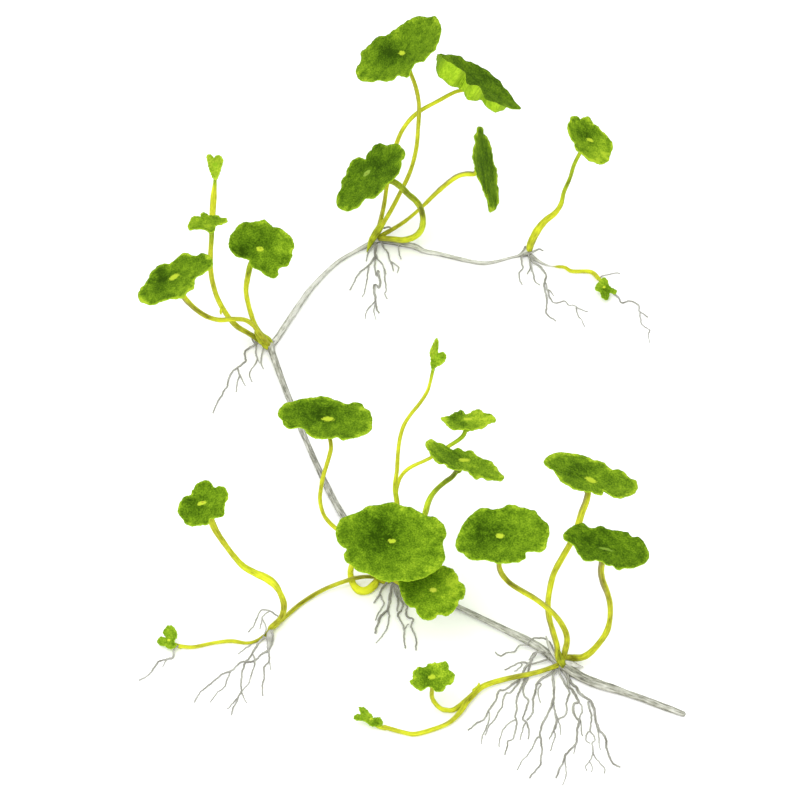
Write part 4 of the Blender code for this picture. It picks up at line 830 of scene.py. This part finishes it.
class Shape:
    """A mesh in the making: points, faces with a material number, and point values."""

    def __init__(self):
        self.points = []
        self.faces = []
        self.numbers = []
        self.values = {"place": [], "tone": []}
        self.size = 0

    def add(self, points, faces, numbers, place, tone):
        """Add points with faces between them. place and tone are for the materials."""
        self.points.append(points)
        self.faces += [tuple(k + self.size for k in face) for face in faces]
        self.numbers += numbers
        self.values["place"].append(place)
        self.values["tone"].append(tone)
        self.size += len(points)

    def finish(self, name, materials, slot, nodes):
        """Make the object, which takes the place of the solids named in nodes."""
        points = np.concatenate(self.points)
        points[:, 2] = np.maximum(points[:, 2], FLOOR_GAP)
        mesh = bpy.data.meshes.new(name)
        mesh.from_pydata(points.tolist(), [], self.faces)
        mesh.polygons.foreach_set("material_index", self.numbers)
        for key, values in self.values.items():
            attribute = mesh.attributes.new(key, "FLOAT_VECTOR", "POINT")
            attribute.data.foreach_set("vector", np.concatenate(values).ravel())
        mesh.shade_smooth()
        mesh.update()
        for material in materials:
            mesh.materials.append(material)
        piece = bpy.data.objects.new(name, mesh)
        bpy.context.scene.collection.objects.link(piece)
        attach(piece, "root")
        if nodes:
            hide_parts(*nodes)


def cross_ways(points):
    """Return two directions across a route at each point. The first is to its right as seen."""
    ways = unit(np.gradient(np.asarray(points), axis=0))
    right = unit(np.cross(ways, TO_EYE))
    return right, np.cross(ways, right)


def with_ends(rows):
    """Return rows with the first and the last one twice."""
    return np.concatenate((rows[:1], rows, rows[-1:]))


def add_tube(shape, points, radii, sides, tone, ridges, number=0):
    """Add a tube of changing radius with rounded ends.

    ridges returns what the radius is multiplied by, from distances along and turns around.
    place gets how far a point is to the right and to the back, and the mm along.
    """
    right, back = map(with_ends, cross_ways(points))
    ways = unit(np.gradient(points, axis=0))
    low = points[0] - ways[0] * radii[0] * 0.5
    high = points[-1] + ways[-1] * radii[-1] * 0.5
    reach = with_ends(reaches(points))
    points = np.concatenate((low[None], points, high[None]))
    radii = np.concatenate(([radii[0] * 0.6], radii, [radii[-1] * 0.6]))
    turn = np.arange(sides) * math.tau / sides
    cosine, sine = np.cos(turn), np.sin(turn)
    size = (radii[:, None] * ridges(reach, turn))[..., None]
    rings = points[:, None] + size * (
        cosine[None, :, None] * right[:, None] + sine[None, :, None] * back[:, None])
    place = np.stack(np.broadcast_arrays(cosine, sine, reach[:, None] / MM), axis=-1)
    end = (len(points) - 1) * sides
    faces = []
    for a in range(0, end, sides):
        b = a + sides
        for j in range(sides):
            after = (j + 1) % sides
            faces.append((a + j, a + after, b + after, b + j))
    faces.append(tuple(reversed(range(sides))))
    faces.append(tuple(range(end, end + sides)))
    shape.add(rings.reshape(-1, 3), faces, [number] * len(faces), place.reshape(-1, 3),
              np.repeat(with_ends(tone), sides, axis=0))


def grooves(count, depth, twist):
    """Return ridges for add_tube that leave even grooves, which turn once in a length."""
    return lambda reach, turn: 1 + depth * np.cos(count * turn[None, :] + reach[:, None] / twist)


def leaf_normal(openness, roll):
    """Return the way a blade faces, from how the picture shows it."""
    lean = math.radians(roll)
    in_picture = math.sin(lean) * RIGHT + math.cos(lean) * UP
    return openness * TO_EYE + math.sqrt(1 - openness * openness) * in_picture


def plane_ways(normal):
    """Return two directions in a blade's plane, to the right and to the back."""
    across = unit(RIGHT - normal * (RIGHT @ normal))
    return across, np.cross(normal, across)


def grain_flattening(normal):
    """Return how much the grain of a blade is stretched away from the eye."""
    return float(abs(normal @ TO_EYE)) ** 0.5


def shade_at(points, painted_shades):
    """Return the tone that patches of painted shade and painted light give points, by the pixels that show
    them.
    """
    seen = to_pixels(points)
    dark = np.zeros(seen.shape[:-1])
    for u, v, half_width, half_height, strength in painted_shades:
        away = ((seen[..., 0] - u) / half_width)**2 + ((seen[..., 1] - v) / half_height)**2
        dark += strength * np.exp(-away)
    return dark[..., None] * (1.0, 0.0, 0.0)


def blade_faces(rings, segments, turned):
    """Return the faces of a double sheet and their material numbers, segment by segment.

    The points are the upper side's middle and rings, the lip, the underside's rings, all
    from the middle outward, and the underside's middle.
    """
    lip = 1 + rings * segments
    below = lip + segments
    last = below + rings * segments
    upper = list(range(1, below, segments)) + [last - segments]
    under = list(range(below, last, segments))
    faces = []
    for j in range(segments):
        after = (j + 1) % segments
        rows = [(0, 1 + j, 1 + after)]
        rows += [(a + j, b + j, b + after, a + after) for a, b in zip(upper, upper[1:])]
        rows += [(a + j, a + after, b + after, b + j) for a, b in zip(under, under[1:])]
        rows.append((last, below + after, below + j))
        faces += [row[::-1] for row in rows] if turned else rows
    return faces, ([0] * rings + [1] * (rings + 2)) * segments


def blade_layers(middle, upper, lip, under, last):
    """Return what the points of a blade have, in the order that blade_faces takes them."""
    return np.concatenate([np.reshape(part, (-1, 3)) for part in (middle, upper, lip, under, last)])


def add_blade(shape, spot, normal, rim, seed, painted_shades, curls=None, rings=16, segments=320,
              funnel=BLADE_FUNNEL):
    """Add a blade, a thin double sheet, with its upper side in material 0.

    curls gives, for rim points by number, how many pixels the edge turns up past the
    outline. place is the flattened place in mm and the share of the way to the rim.
    """
    # The outline, how far it is from the middle, and how it rises to the rim
    heights = curls or {}
    fine = along([(*place, heights.get(k, 0)) for k, place in enumerate(rim)], segments, closed=True)
    outline = fine[:, :2]
    turn = np.arange(segments) * math.tau / segments
    out = unit(outline - to_pixels(spot))
    outline = outline + out * (BLADE_CRINKLE * waves(turn, seed + 9, 4, 22))[:, None]
    flat = on_plane(outline, spot, normal)
    reach = np.linalg.norm(flat - spot, axis=1)
    size = reach.mean()
    facing_eye = float(normal @ TO_EYE)
    relief = min(1.0, 1.6 * facing_eye)
    lobes = smoothed(reach - smoothed(reach, segments // 8), segments // 24) / size
    rise = funnel * reach + size * (BLADE_WAVE * waves(turn, seed, 3, 3) - LOBE_DROP * relief * lobes)
    edge = on_plane(outline, spot + normal * (rise * relief)[:, None], normal)
    span = np.linalg.norm(edge - spot, axis=1)
    way = (edge - spot) / span[:, None]
    upward = np.maximum(fine[:, 2], 0.0) * PIXEL / math.sqrt(1 - facing_eye**2 + 1e-9)

    def profile(distance):
        """Return the points at distances from the middle, before the bend is rounded."""
        inner = np.minimum(distance, span)
        part = inner / span
        sag = size * funnel * relief * part * (1 - part)
        ripple = BLADE_RIPPLE * waves(turn * 9 + 2 * part, seed + 5, 3, 1) * part**2
        up = np.maximum(distance - span, 0.0) - sag + ripple
        return spot + way * inner[..., None] + normal * up[..., None]

    # The upper side, with a round bend where the edge turns up
    share = np.linspace(0, 1, rings + 1)[1:] ** 0.9
    length = share[:, None] * (span + upward)
    bend = np.minimum(CURL_BEND, upward / 2 + 1e-9)
    blend = np.clip((length - (span - bend)) / (2 * bend), 0, 1)[..., None]
    low, corner, high = profile(span - bend), profile(span), profile(span + bend)
    rounded = (1 - blend)**2 * low + 2 * blend * (1 - blend) * corner + blend**2 * high
    curled = (upward > 1e-5)[None, :, None] & (blend > 0) & (blend < 1)
    sheet = np.where(curled, rounded, profile(length))

    # The underside and the lip
    around = (np.roll(sheet, -1, axis=1) - np.roll(sheet, 1, axis=1)) / 2
    facing = unit(np.cross(np.gradient(sheet, axis=0), around))
    if (facing[0] @ normal).mean() < 0:
        facing = -facing
    facing = np.where((facing @ normal < -0.3)[..., None], -facing, facing)
    middle_depth, rim_depth = BLADE_THICKNESS
    below = sheet - facing * (middle_depth + (rim_depth - middle_depth) * share)[:, None, None]
    lip = (sheet[-1] + below[-1]) / 2 + unit(sheet[-1] - sheet[-2]) * BLADE_LIP

    # What the materials read, and the faces
    across, back = plane_ways(normal)
    angle = np.arctan2((flat - spot) @ back, (flat - spot) @ across)
    place = np.zeros((rings, segments, 3))
    place[..., 0] = np.cos(angle) * length / MM
    place[..., 1] = np.sin(angle) * length / MM * grain_flattening(normal)
    place[..., 2] = share[:, None]
    # tone holds the painted shade and painted light of the patches, by the pixels that show them
    tone, middle_tone, zero = shade_at(sheet, painted_shades), shade_at(spot, painted_shades), np.zeros(3)
    turned = np.cross(sheet[0, 0] - spot, sheet[0, 1] - spot) @ normal < 0
    faces, numbers = blade_faces(rings, segments, turned)
    shape.add(blade_layers(spot, sheet, lip, below, spot - normal * middle_depth), faces, numbers,
              blade_layers(zero, place, place[-1], place, zero),
              blade_layers(middle_tone, tone, tone[-1], tone, middle_tone))


# Materials


class Paint:
    """A material in the making, with short ways to add its nodes."""

    def __init__(self, name, roughness, specular):
        self.material = bpy.data.materials.new(name)
        self.material.use_nodes = True
        self.tree = self.material.node_tree
        self.shader = self.tree.nodes["Principled BSDF"]
        self.shader.inputs["Roughness"].default_value = roughness
        self.shader.inputs["Specular IOR Level"].default_value = specular

    def node(self, kind, values, **settings):
        """Add a node, set it, and link or set its inputs by number or name."""
        node = self.tree.nodes.new(kind)
        for key, value in settings.items():
            setattr(node, key, value)
        for key, value in values.items():
            if isinstance(value, bpy.types.NodeSocket):
                self.tree.links.new(value, node.inputs[key])
            else:
                node.inputs[key].default_value = value
        return node

    def math(self, operation, a, b=0.0, clamp=False):
        """Return the result of a sum."""
        return self.node("ShaderNodeMath", {0: a, 1: b}, operation=operation, use_clamp=clamp).outputs[0]

    def sum(self, a, b):
        """Return a + b."""
        return self.math("ADD", a, b)

    def less(self, a, b):
        """Return a - b."""
        return self.math("SUBTRACT", a, b)

    def times(self, a, b):
        """Return a * b."""
        return self.math("MULTIPLY", a, b)

    def length(self, a, b):
        """Return how long a way is, from its two parts."""
        return self.math("SQRT", self.sum(self.times(a, a), self.times(b, b)))

    def ramp(self, value, colours):
        """Return a colour from even steps between 0 and 1."""
        node = self.node("ShaderNodeValToRGB", {0: value})
        stops = node.color_ramp.elements
        stops[0].position, stops[0].color = 0.0, colours[0]
        stops[1].position, stops[1].color = 1.0, colours[-1]
        for k, colour in enumerate(colours[1:-1], 1):
            stops.new(k / (len(colours) - 1)).color = colour
        return node.outputs[0]

    def fit(self, value, low, high, new_low=0.0, new_high=1.0):
        """Return a value moved from one range to another, smoothly and within it."""
        values = {"Value": value, "From Min": low, "From Max": high, "To Min": new_low, "To Max": new_high}
        return self.node("ShaderNodeMapRange", values, interpolation_type="SMOOTHSTEP").outputs[0]

    def mix(self, share, a, b):
        """Return a mix of two colours."""
        return self.node("ShaderNodeMix", {0: share, 6: a, 7: b}, data_type="RGBA").outputs[2]

    def noise(self, vector, scale, detail=2.0, roughness=0.5):
        """Return a noise value of about 0 to 1."""
        values = {"Vector": vector, "Scale": scale, "Detail": detail, "Roughness": roughness}
        return self.node("ShaderNodeTexNoise", values).outputs[0]

    def swing(self, noise, strength):
        """Return how far a noise value is from its middle, times a strength."""
        return self.times(self.less(noise, 0.5), strength)

    def attribute(self, name):
        """Return the vector that the mesh's points have by a name."""
        return self.node("ShaderNodeAttribute", {}, attribute_name=name).outputs["Vector"]

    def parts(self, vector):
        """Return the three numbers of a vector."""
        return self.node("ShaderNodeSeparateXYZ", {0: vector}).outputs[:]

    def vector(self, operation, a, b):
        """Return the result of a sum of vectors, part by part."""
        return self.node("ShaderNodeVectorMath", {0: a, 1: b}, operation=operation).outputs[0]

    def finish(self, colour, height=None, distance=0.0, strength=0.0):
        """Link the colour and the bump, and return the material."""
        self.tree.links.new(colour, self.shader.inputs["Base Color"])
        if height is not None:
            values = {"Height": height, "Distance": distance, "Strength": strength}
            bump = self.node("ShaderNodeBump", values)
            self.tree.links.new(bump.outputs[0], self.shader.inputs["Normal"])
        return self.material


def vein_lines(paint, place, count=11):
    """Return how much a point of a blade is on a vein, from its flattened place.

    The main veins run from the middle to the rim, and fork on the way.
    """
    x, y, rho = paint.parts(place)
    angle = paint.math("DIVIDE", paint.math("ARCTAN2", y, x), math.tau)
    sway = paint.swing(paint.noise(place, 0.16, 1.0), 1.1)
    turn = paint.sum(paint.times(angle, float(count)), sway)
    beside = paint.math("ABSOLUTE", paint.less(paint.math("FRACT", turn), 0.5))
    arc = paint.times(paint.length(x, y), math.tau / count)
    main = paint.fit(paint.times(beside, arc), 0.10, 0.34, 1.0, 0.0)
    spread = paint.times(paint.math("SUBTRACT", rho, 0.42, clamp=True), 0.48)
    fork = paint.times(paint.math("ABSOLUTE", paint.less(beside, spread)), arc)
    fork = paint.sum(fork, paint.fit(rho, 0.40, 0.46, 1.0, 0.0))
    fork = paint.fit(fork, 0.06, 0.26, 0.8, 0.0)
    return paint.times(paint.math("MAXIMUM", main, fork), paint.fit(rho, 0.45, 0.98, 1.0, 0.35))


def make_upper(name, seed, colours, spot_colour, spot_fit, rim_highlight):
    """Make the green of a blade's upper side: stippled, darker by tone, which holds painted
    shade and painted light besides the blade's tint, with a painted highlight on the rim and
    a pale spot.

    spot_fit gives four numbers that turn the flattened place into the spot's own, where
    the spot is a circle of radius 1.
    """
    paint = Paint(name, roughness=0.95, specular=0.02)
    place = paint.attribute("place")
    x, y, rho = paint.parts(place)
    moved = paint.vector("ADD", place, (7.3 * seed, 3.1 * seed, 0.0))
    grain = paint.noise(moved, 1.75, 3.0, 0.72)
    cloud = paint.noise(moved, 0.28, 2.0, 0.6)
    rays = paint.noise(moved, 0.55)
    level = paint.sum(paint.sum(paint.swing(grain, 1.45), paint.swing(cloud, 0.8)), 0.5)
    # Painted shade, and painted light below 0, from tone, broken into streaks like rays
    dark = paint.parts(paint.attribute("tone"))[0]
    level = paint.less(level, paint.times(dark, paint.fit(rays, 0.30, 0.70, 0.75, 1.20)))
    # The pale rim is a painted highlight
    edge = paint.sum(rho, paint.swing(cloud, 0.25))
    level = paint.sum(level, paint.fit(edge, 0.86, 1.0, 0.0, rim_highlight))
    u = paint.sum(paint.times(x, spot_fit[0]), paint.times(y, spot_fit[1]))
    v = paint.sum(paint.times(x, spot_fit[2]), paint.times(y, spot_fit[3]))
    away = paint.sum(paint.length(u, v), paint.swing(paint.noise(moved, 1.6), 1.2))
    colour = paint.mix(paint.fit(away, 0.70, 1.25, 1.0, 0.0), paint.ramp(level, colours), spot_colour)
    height = paint.less(paint.times(grain, 0.5), paint.times(vein_lines(paint, place), 0.4))
    return paint.finish(colour, height, distance=0.00012, strength=0.30)


def make_under(name, pale, deep, vein):
    """Make the paler green of a blade's underside, with raised veins."""
    paint = Paint(name, roughness=0.85, specular=0.05)
    place = paint.attribute("place")
    lines = vein_lines(paint, place)
    grain = paint.noise(place, 1.6, 3.0, 0.7)
    colour = paint.mix(paint.fit(grain, 0.30, 0.70), deep, pale)
    colour = paint.mix(paint.times(lines, 0.30), colour, vein)
    height = paint.sum(paint.times(grain, 0.35), lines)
    return paint.finish(colour, height, distance=0.00014, strength=0.35)


def make_tube_paint(name, colours, others, roughness=0.6, start=0.26, streaking=1.0, core=0.12, edges=0.0):
    """Make the paint of stalks, stems and roots, light to dark, streaked along them.

    tone's parts are how dark a point is, on stalks in places a painted shadow under the blade,
    which side has painted shade, olive brown, 1 for the right and -1 for the left, while the
    other side gets painted light, and the share of the other colours. core and edges are how
    much darker the middle and both sides are, as seen.
    """
    paint = Paint(name, roughness, specular=0.08)
    place = paint.attribute("place")
    dark, side, other = paint.parts(paint.attribute("tone"))
    streaks = paint.noise(paint.vector("MULTIPLY", place, (1.3, 1.3, 0.10)), 1.6, 3.0, 0.6)
    fine = paint.noise(paint.vector("MULTIPLY", place, (3.0, 3.0, 0.22)), 1.6, 2.0, 0.6)
    blots = paint.noise(paint.vector("MULTIPLY", place, (0.6, 0.6, 0.35)), 0.9)
    toward = paint.parts(place)[0]
    away = paint.math("ABSOLUTE", toward)
    middle = paint.fit(away, 0.25, 0.90, 1.0, 0.0)
    painted_shade_side = paint.times(toward, side)
    level = paint.sum(paint.swing(streaks, 1.1 * streaking), paint.swing(blots, 0.8))
    level = paint.sum(level, paint.swing(fine, 0.9 * streaking))
    dark = paint.times(dark, paint.sum(paint.times(middle, 0.75), 0.55))
    level = paint.sum(level, paint.sum(dark, start))
    level = paint.sum(level, paint.times(middle, core))
    level = paint.sum(level, paint.fit(away, 0.60, 0.95, 0.0, edges))
    # Painted light on one side, and painted shade, olive brown, on the other
    level = paint.less(level, paint.fit(painted_shade_side, -0.90, 0.0, 0.22, 0.0))
    colour = paint.mix(other, paint.ramp(level, colours), paint.ramp(level, others))
    colour = paint.mix(paint.fit(painted_shade_side, -0.05, 0.75, 0.0, 0.85), colour, srgb(150, 140, 96))
    height = paint.sum(streaks, paint.times(fine, 0.5))
    return paint.finish(colour, height, distance=0.00012, strength=0.5)


def srgbs(*colours):
    """Return several colours as srgb does."""
    return [srgb(*colour) for colour in colours]


# Colours, and the number of the stalk's material where it is in one piece with a blade
LEAF_GREENS = srgbs((48, 76, 6), (75, 109, 14), (104, 140, 23), (136, 172, 34), (180, 208, 50))
YOUNG_GREENS = srgbs((74, 106, 12), (104, 142, 24), (136, 172, 36), (166, 196, 48), (196, 220, 66))
STEM_YELLOWS = srgbs((238, 242, 52), (212, 217, 46), (184, 187, 44), (150, 150, 34), (112, 114, 24))
STEM_GREENS = srgbs((186, 214, 48), (160, 194, 30), (130, 164, 22), (106, 134, 20), (84, 106, 22))
STEM_GREYS = srgbs((236, 236, 228), (212, 212, 202), (182, 182, 170), (146, 146, 134), (104, 104, 94))
ROOT_GREYS = srgbs((216, 216, 210), (192, 192, 185), (164, 163, 155), (128, 126, 118))
LEAF_SPOT = srgb(190, 212, 56)
BUD_SPOT = srgb(150, 190, 40)
TIP_SPOT = srgb(206, 222, 60)
STALK_NUMBER = 2


def make_materials():
    """Make the materials that several pieces share and return them by name."""
    unders = srgbs((182, 218, 48), (136, 178, 26), (190, 220, 70))
    return {
        "leaf_under": make_under("leaf_under", *unders),
        "stalk": make_tube_paint("stalk", STEM_YELLOWS, STEM_GREENS),
        "runner": make_tube_paint("runner", STEM_YELLOWS, STEM_GREYS),
        "rhizome": make_tube_paint("rhizome", STEM_GREYS, STEM_GREENS, roughness=0.8, start=0.33,
                                   streaking=1.6, core=0.03, edges=0.26),
        "root": make_tube_paint("root", ROOT_GREYS, STEM_GREENS, roughness=0.9, start=0.48),
    }


def spot_in_place(spot, normal, half_length, half_width, angle):
    """Return the four numbers that make_upper needs for a spot of a size in pixels."""
    base = to_pixels(spot)
    columns = np.stack([to_pixels(spot + way * MM) - base for way in plane_ways(normal)], axis=1)
    columns[:, 1] /= grain_flattening(normal)
    lean = math.radians(angle)
    turn = np.array(((math.cos(lean), math.sin(lean)), (-math.sin(lean), math.cos(lean))))
    fit = np.diag((1 / half_length, 1 / half_width)) @ turn @ columns
    return [float(value) for value in fit.ravel()]


# Pieces


def by_share(values, share, default=0.0):
    """Return values at shares of the way, between those given by percent of it."""
    if not values:
        return np.full(len(share), default)
    return np.interp(share, np.array(list(values)) / 100, list(values.values()))


def tones(looks, share, seed):
    """Return the three numbers of tone along a tube."""
    dark = by_share(looks.get("dark"), share) + 0.07 * waves(share * 14, seed + 3, 3)
    other = by_share(looks.get("other", looks.get("green")), share)
    return np.stack((dark, by_share(looks.get("side"), share), other), axis=1)


def make_stem(name, materials, stems, finish, route, radii, knob):
    """Make a stem with grooves along it, lying on the surface, and return its tube."""
    points = []
    for k, place in enumerate(route):
        radius = radii[0] + (radii[1] - radii[0]) * k / (len(route) - 1)
        underside = place[2] * MM if len(place) > 2 else 0.0
        points.append(at_height(place[:2], underside + radius))
    count, sides = STEM_MESH
    points = along(grown_from(stems, points), count)
    reach = reaches(points)
    share = reach / reach[-1]
    swell = np.clip(1 - (reach[-1] - reach) / SWELLING, 0, 1) ** 1.5
    sizes = radii[0] + (radii[1] - radii[0]) * share
    sizes = sizes + np.maximum(knob - sizes, 0) * swell
    looks = STEM_LOOKS[name]
    sizes = sizes * by_share(looks.get("size"), share, 1.0)
    if not any(len(place) > 2 for place in route):
        points[:, 2] = sizes
    points[:, 2] = np.maximum(points[:, 2], sizes)
    seed = seed_of(name)

    def ridges(distance, turn):
        lumps = LUMP_HEIGHT * waves(distance / LUMP_LENGTH, seed, 4)
        wander = 0.8 * waves(distance / GROOVE_LENGTH, seed + 1, 2)
        groove = GROOVE_HEIGHT * np.cos(5 * turn[None, :] + wander[:, None])
        return 1 + lumps[:, None] + groove

    shape = Shape()
    add_tube(shape, points, sizes, sides, tones(looks, share, seed), ridges)
    shape.finish(name + "_looks", [materials[finish]], finish, [name])
    return np.column_stack((points, sizes))


def stalk_points(node, base_mm, top, places):
    """Return a stalk's route pixels as points, from its base to just under its top.

    Where a place has no height, its depth is between those of the base and the top.
    """
    base = at_height(node, NODE_HEIGHT[node]) + np.array(base_mm) * MM
    upward = places[::-1]
    first = math.dist(upward[0][:2], node)
    reach = reaches([place[:2] for place in upward])
    total = first + reach[-1] + STALK_TURN_PIXELS
    points = [base]
    for place, so_far in zip(upward, reach):
        if len(place) > 2:
            points.append(at_height(place[:2], place[2] * MM))
        else:
            points.append(at_depth(place, base[1] + (top[1] - base[1]) * (first + so_far) / total))
    return points


def add_stalk(shape, points, looks, seed, number=0):
    """Add a stalk along a route and return its tube."""
    count, sides = STALK_MESH
    points = along(points, count)
    share = np.linspace(0, 1, count)
    sizes = by_share(looks["width"], share) * PIXEL / 2 * (1 + 0.04 * waves(share * 40, seed, 3))
    ridges = grooves(count=4, depth=0.03, twist=0.01)
    add_tube(shape, points, sizes, sides, tones(looks, share, seed), ridges, number)
    return np.column_stack((points, sizes))


def make_leaf(name, materials, stems, node, spot, lean_mm, openness, roll, base_mm, stalk, rim):
    """Make a blade and the stalk that carries it."""
    looks = LEAF_LOOKS[name]
    number = int(name[-2:])
    spot = at_depth(spot, at_height(node, NODE_HEIGHT[node])[1] + lean_mm * MM)
    normal = leaf_normal(openness, roll)
    shape = Shape()
    add_blade(shape, spot, normal, rim, 100 + number, looks["painted_shades"], looks.get("curls"))
    shape.values["tone"][0] += (looks.get("tint", 0.0), 0.0, 0.0)
    fit = spot_in_place(spot, normal, *looks["spot"])
    upper = make_upper(name + "_upper", number, LEAF_GREENS, looks.get("centre", LEAF_SPOT), fit,
                       looks.get("rim_highlight", 0.3))
    shape.finish(name + "_looks", [upper, materials["leaf_under"]], "leaf", [name])
    points = grown_from(stems, stalk_points(node, base_mm, spot, stalk))
    points += [spot - normal * STALK_TURN, spot - normal * STALK_END]
    shape = Shape()
    add_stalk(shape, points, looks["stalk"], number)
    name = name.replace("leaf", "stalk")
    shape.finish(name + "_looks", [materials["stalk"]], "stalk", [name])


def finish_young(shape, name, materials, upper):
    """Make the object of a young leaf, whose blade and stalk are one piece."""
    finishes = [upper, materials["leaf_under"], materials["stalk"]]
    shape.finish(name + "_looks", finishes, "young_leaf", [name])


def make_bud(name, materials, stems, node, lean_mm, base_mm, outline, foot, stalk, painted_shades, **looks):
    """Make a folded young leaf in one piece with its stalk."""
    depth = at_height(node, NODE_HEIGHT[node])[1] + lean_mm * MM
    top = at_depth(foot, depth)
    middle = at_depth(np.mean(outline, axis=0), depth)
    normal = leaf_normal(*BUD_POSE)
    points = grown_from(stems, stalk_points(node, base_mm, top, stalk))
    points += [top, middle - normal * YOUNG_STALK_END]
    shape = Shape()
    add_stalk(shape, points, looks, 7, STALK_NUMBER)
    add_blade(shape, middle, normal, outline, 31, painted_shades, rings=14, segments=120, funnel=BUD_FUNNEL)
    upper = make_upper(name + "_upper", 31, YOUNG_GREENS, BUD_SPOT, (1, 0, 0, 1), 0.2)
    finish_young(shape, name, materials, upper)


def make_tip_leaf(name, materials, spot, height_mm, openness, roll, rim, painted_shades, foot, looks):
    """Make the young leaf that ends a runner with its short stalk, and return the stalk's tube."""
    spot = at_height(spot, height_mm * MM)
    normal = leaf_normal(openness, roll)
    seed = seed_of(name)
    shape = Shape()
    add_blade(shape, spot, normal, rim, seed, painted_shades, rings=12, segments=160)
    points = [at_height(place[:2], place[2] * MM) for place in foot]
    points.append(spot - normal * YOUNG_STALK_END)
    tube = add_stalk(shape, points, looks, seed, STALK_NUMBER)
    fit = spot_in_place(spot, normal, 1.5, 1.2, 0)
    upper = make_upper(name + "_upper", seed % 50, YOUNG_GREENS, TIP_SPOT, fit, 0.1)
    finish_young(shape, name, materials, upper)
    return tube


def make_roots(name, materials, stems, crown, roots):
    """Make a tuft of roots that lies on the surface."""
    shape = Shape()
    seed = seed_of(name)
    tubes = list(stems)
    for number, (width, places) in enumerate(roots):
        radius = width * ROOT_WIDTH * PIXEL / 2
        points = []
        for place in places:
            rise = max(0.0, ROOT_RISE * (1 - math.dist(place[:2], crown) / ROOT_FALL_PIXELS))
            if len(place) > 2:
                rise = place[2] * MM
            points.append(at_height(place[:2], rise + radius))
        length = reaches([place[:2] for place in places])[-1]
        count = max(12, int(length * 1.2))
        points = along(grown_from(tubes, points), count)
        share = np.linspace(0, 1, count)
        sizes = radius * (1 - ROOT_TAPER * share)
        sizes = sizes * (1 + 0.12 * waves(share * length / 3, seed + number, 4))
        wave = ROOT_WAVE * waves(share * length / 2.2, seed + number + 50, 4)
        points = points + cross_ways(points)[0] * wave[:, None]
        points[:, 2] = np.maximum(points[:, 2], sizes)
        tone = np.zeros((count, 3))
        tone[:, 0] = 0.15 * waves(share * length / 6, seed + number, 3) + 0.1 * (width - 2)
        add_tube(shape, points, sizes, ROOT_SIDES, tone, lambda reach, turn: 1.0)
        tubes.append(np.column_stack((points, sizes)))
    shape.finish(name + "_looks", [materials["root"]], "root", [name])


def make_scale(name, materials, finish, widths, route, dark=0.0, other=0.0):
    """Make a small scale, sheath or stub at a node."""
    count, sides = SCALE_MESH
    points = along([at_height(place[:2], place[2] * MM) for place in route], count)
    share = np.linspace(0, 1, count)
    seed = seed_of(name)
    sizes = np.interp(share, np.linspace(0, 1, len(widths)), widths) * PIXEL / 2
    sizes = sizes * (1 + 0.06 * waves(share * 14, seed, 3))
    tone = np.zeros((count, 3))
    tone[:, 0] = dark + 0.12 * waves(share * 9, seed + 1, 3)
    tone[:, 2] = other
    shape = Shape()
    add_tube(shape, points, sizes, sides, tone, grooves(count=3, depth=0.10, twist=0.003))
    shape.finish(name, [materials[finish]], finish, [])


# The room


def add_object(name, data, location, rotation=(0.0, 0.0, 0.0)):
    """Put an object into the scene and return it."""
    added = bpy.data.objects.new(name, data)
    added.location = location
    added.rotation_euler = rotation
    bpy.context.scene.collection.objects.link(added)
    return added


def make_room():
    """Make the floor, the light and the camera."""
    scene = bpy.context.scene
    mesh = bpy.data.meshes.new("floor")
    mesh.from_pydata([(-6, -6, 0), (6, -6, 0), (6, 6, 0), (-6, 6, 0)], [], [(0, 1, 2, 3)])
    floor = add_object("floor", mesh, (0.0, 0.0, -0.0002))
    paint = Paint("floor", roughness=0.9, specular=0.0)
    place = paint.node("ShaderNodeTexCoord", {}).outputs["Object"]
    paper = paint.mix(paint.noise(place, 60.0), (0.93, 0.93, 0.93, 1.0), (0.95, 0.95, 0.95, 1.0))
    mesh.materials.append(paint.finish(paper))
    scene.world = bpy.data.worlds.new("room")
    scene.world.use_nodes = True
    sky = scene.world.node_tree.nodes["Background"].inputs
    sky["Color"].default_value = (1.0, 1.0, 1.0, 1.0)
    sky["Strength"].default_value = 0.85 * BRIGHTNESS
    lamp = bpy.data.lights.new("softbox", "AREA")
    lamp.shape = "DISK"
    lamp.size = 1.2
    lamp.energy = 14.0 * BRIGHTNESS
    x, y, z = -0.25, -0.95, 1.35
    toward_middle = (math.atan2(math.hypot(x, y), z), 0.0, math.atan2(x, -y))
    add_object("softbox", lamp, (x, y, z), toward_middle)
    lens = bpy.data.cameras.new("camera")
    lens.lens = 200
    lens.sensor_width = 36
    lens.clip_end = 50
    scene.camera = add_object("camera", lens, EYE, (math.pi / 2 - VIEW_ELEVATION, 0.0, 0.0))
    scene.view_settings.view_transform = "Standard"


materials = make_materials()
stems = []
for name, stem in STEMS.items():
    stems.append(make_stem(name, materials, stems, **stem))
for name, leaf in LEAVES.items():
    make_leaf(name, materials, stems, **leaf)
for name, bud in BUDS.items():
    make_bud(name, materials, stems, **bud)
for name, tip in TIP_LEAVES.items():
    stems.append(make_tip_leaf(name, materials, **tip))
for name, tuft in ROOTS.items():
    make_roots(name, materials, stems, **tuft)
for name, scale in SCALES.items():
    make_scale(name, materials, **scale)
make_room()
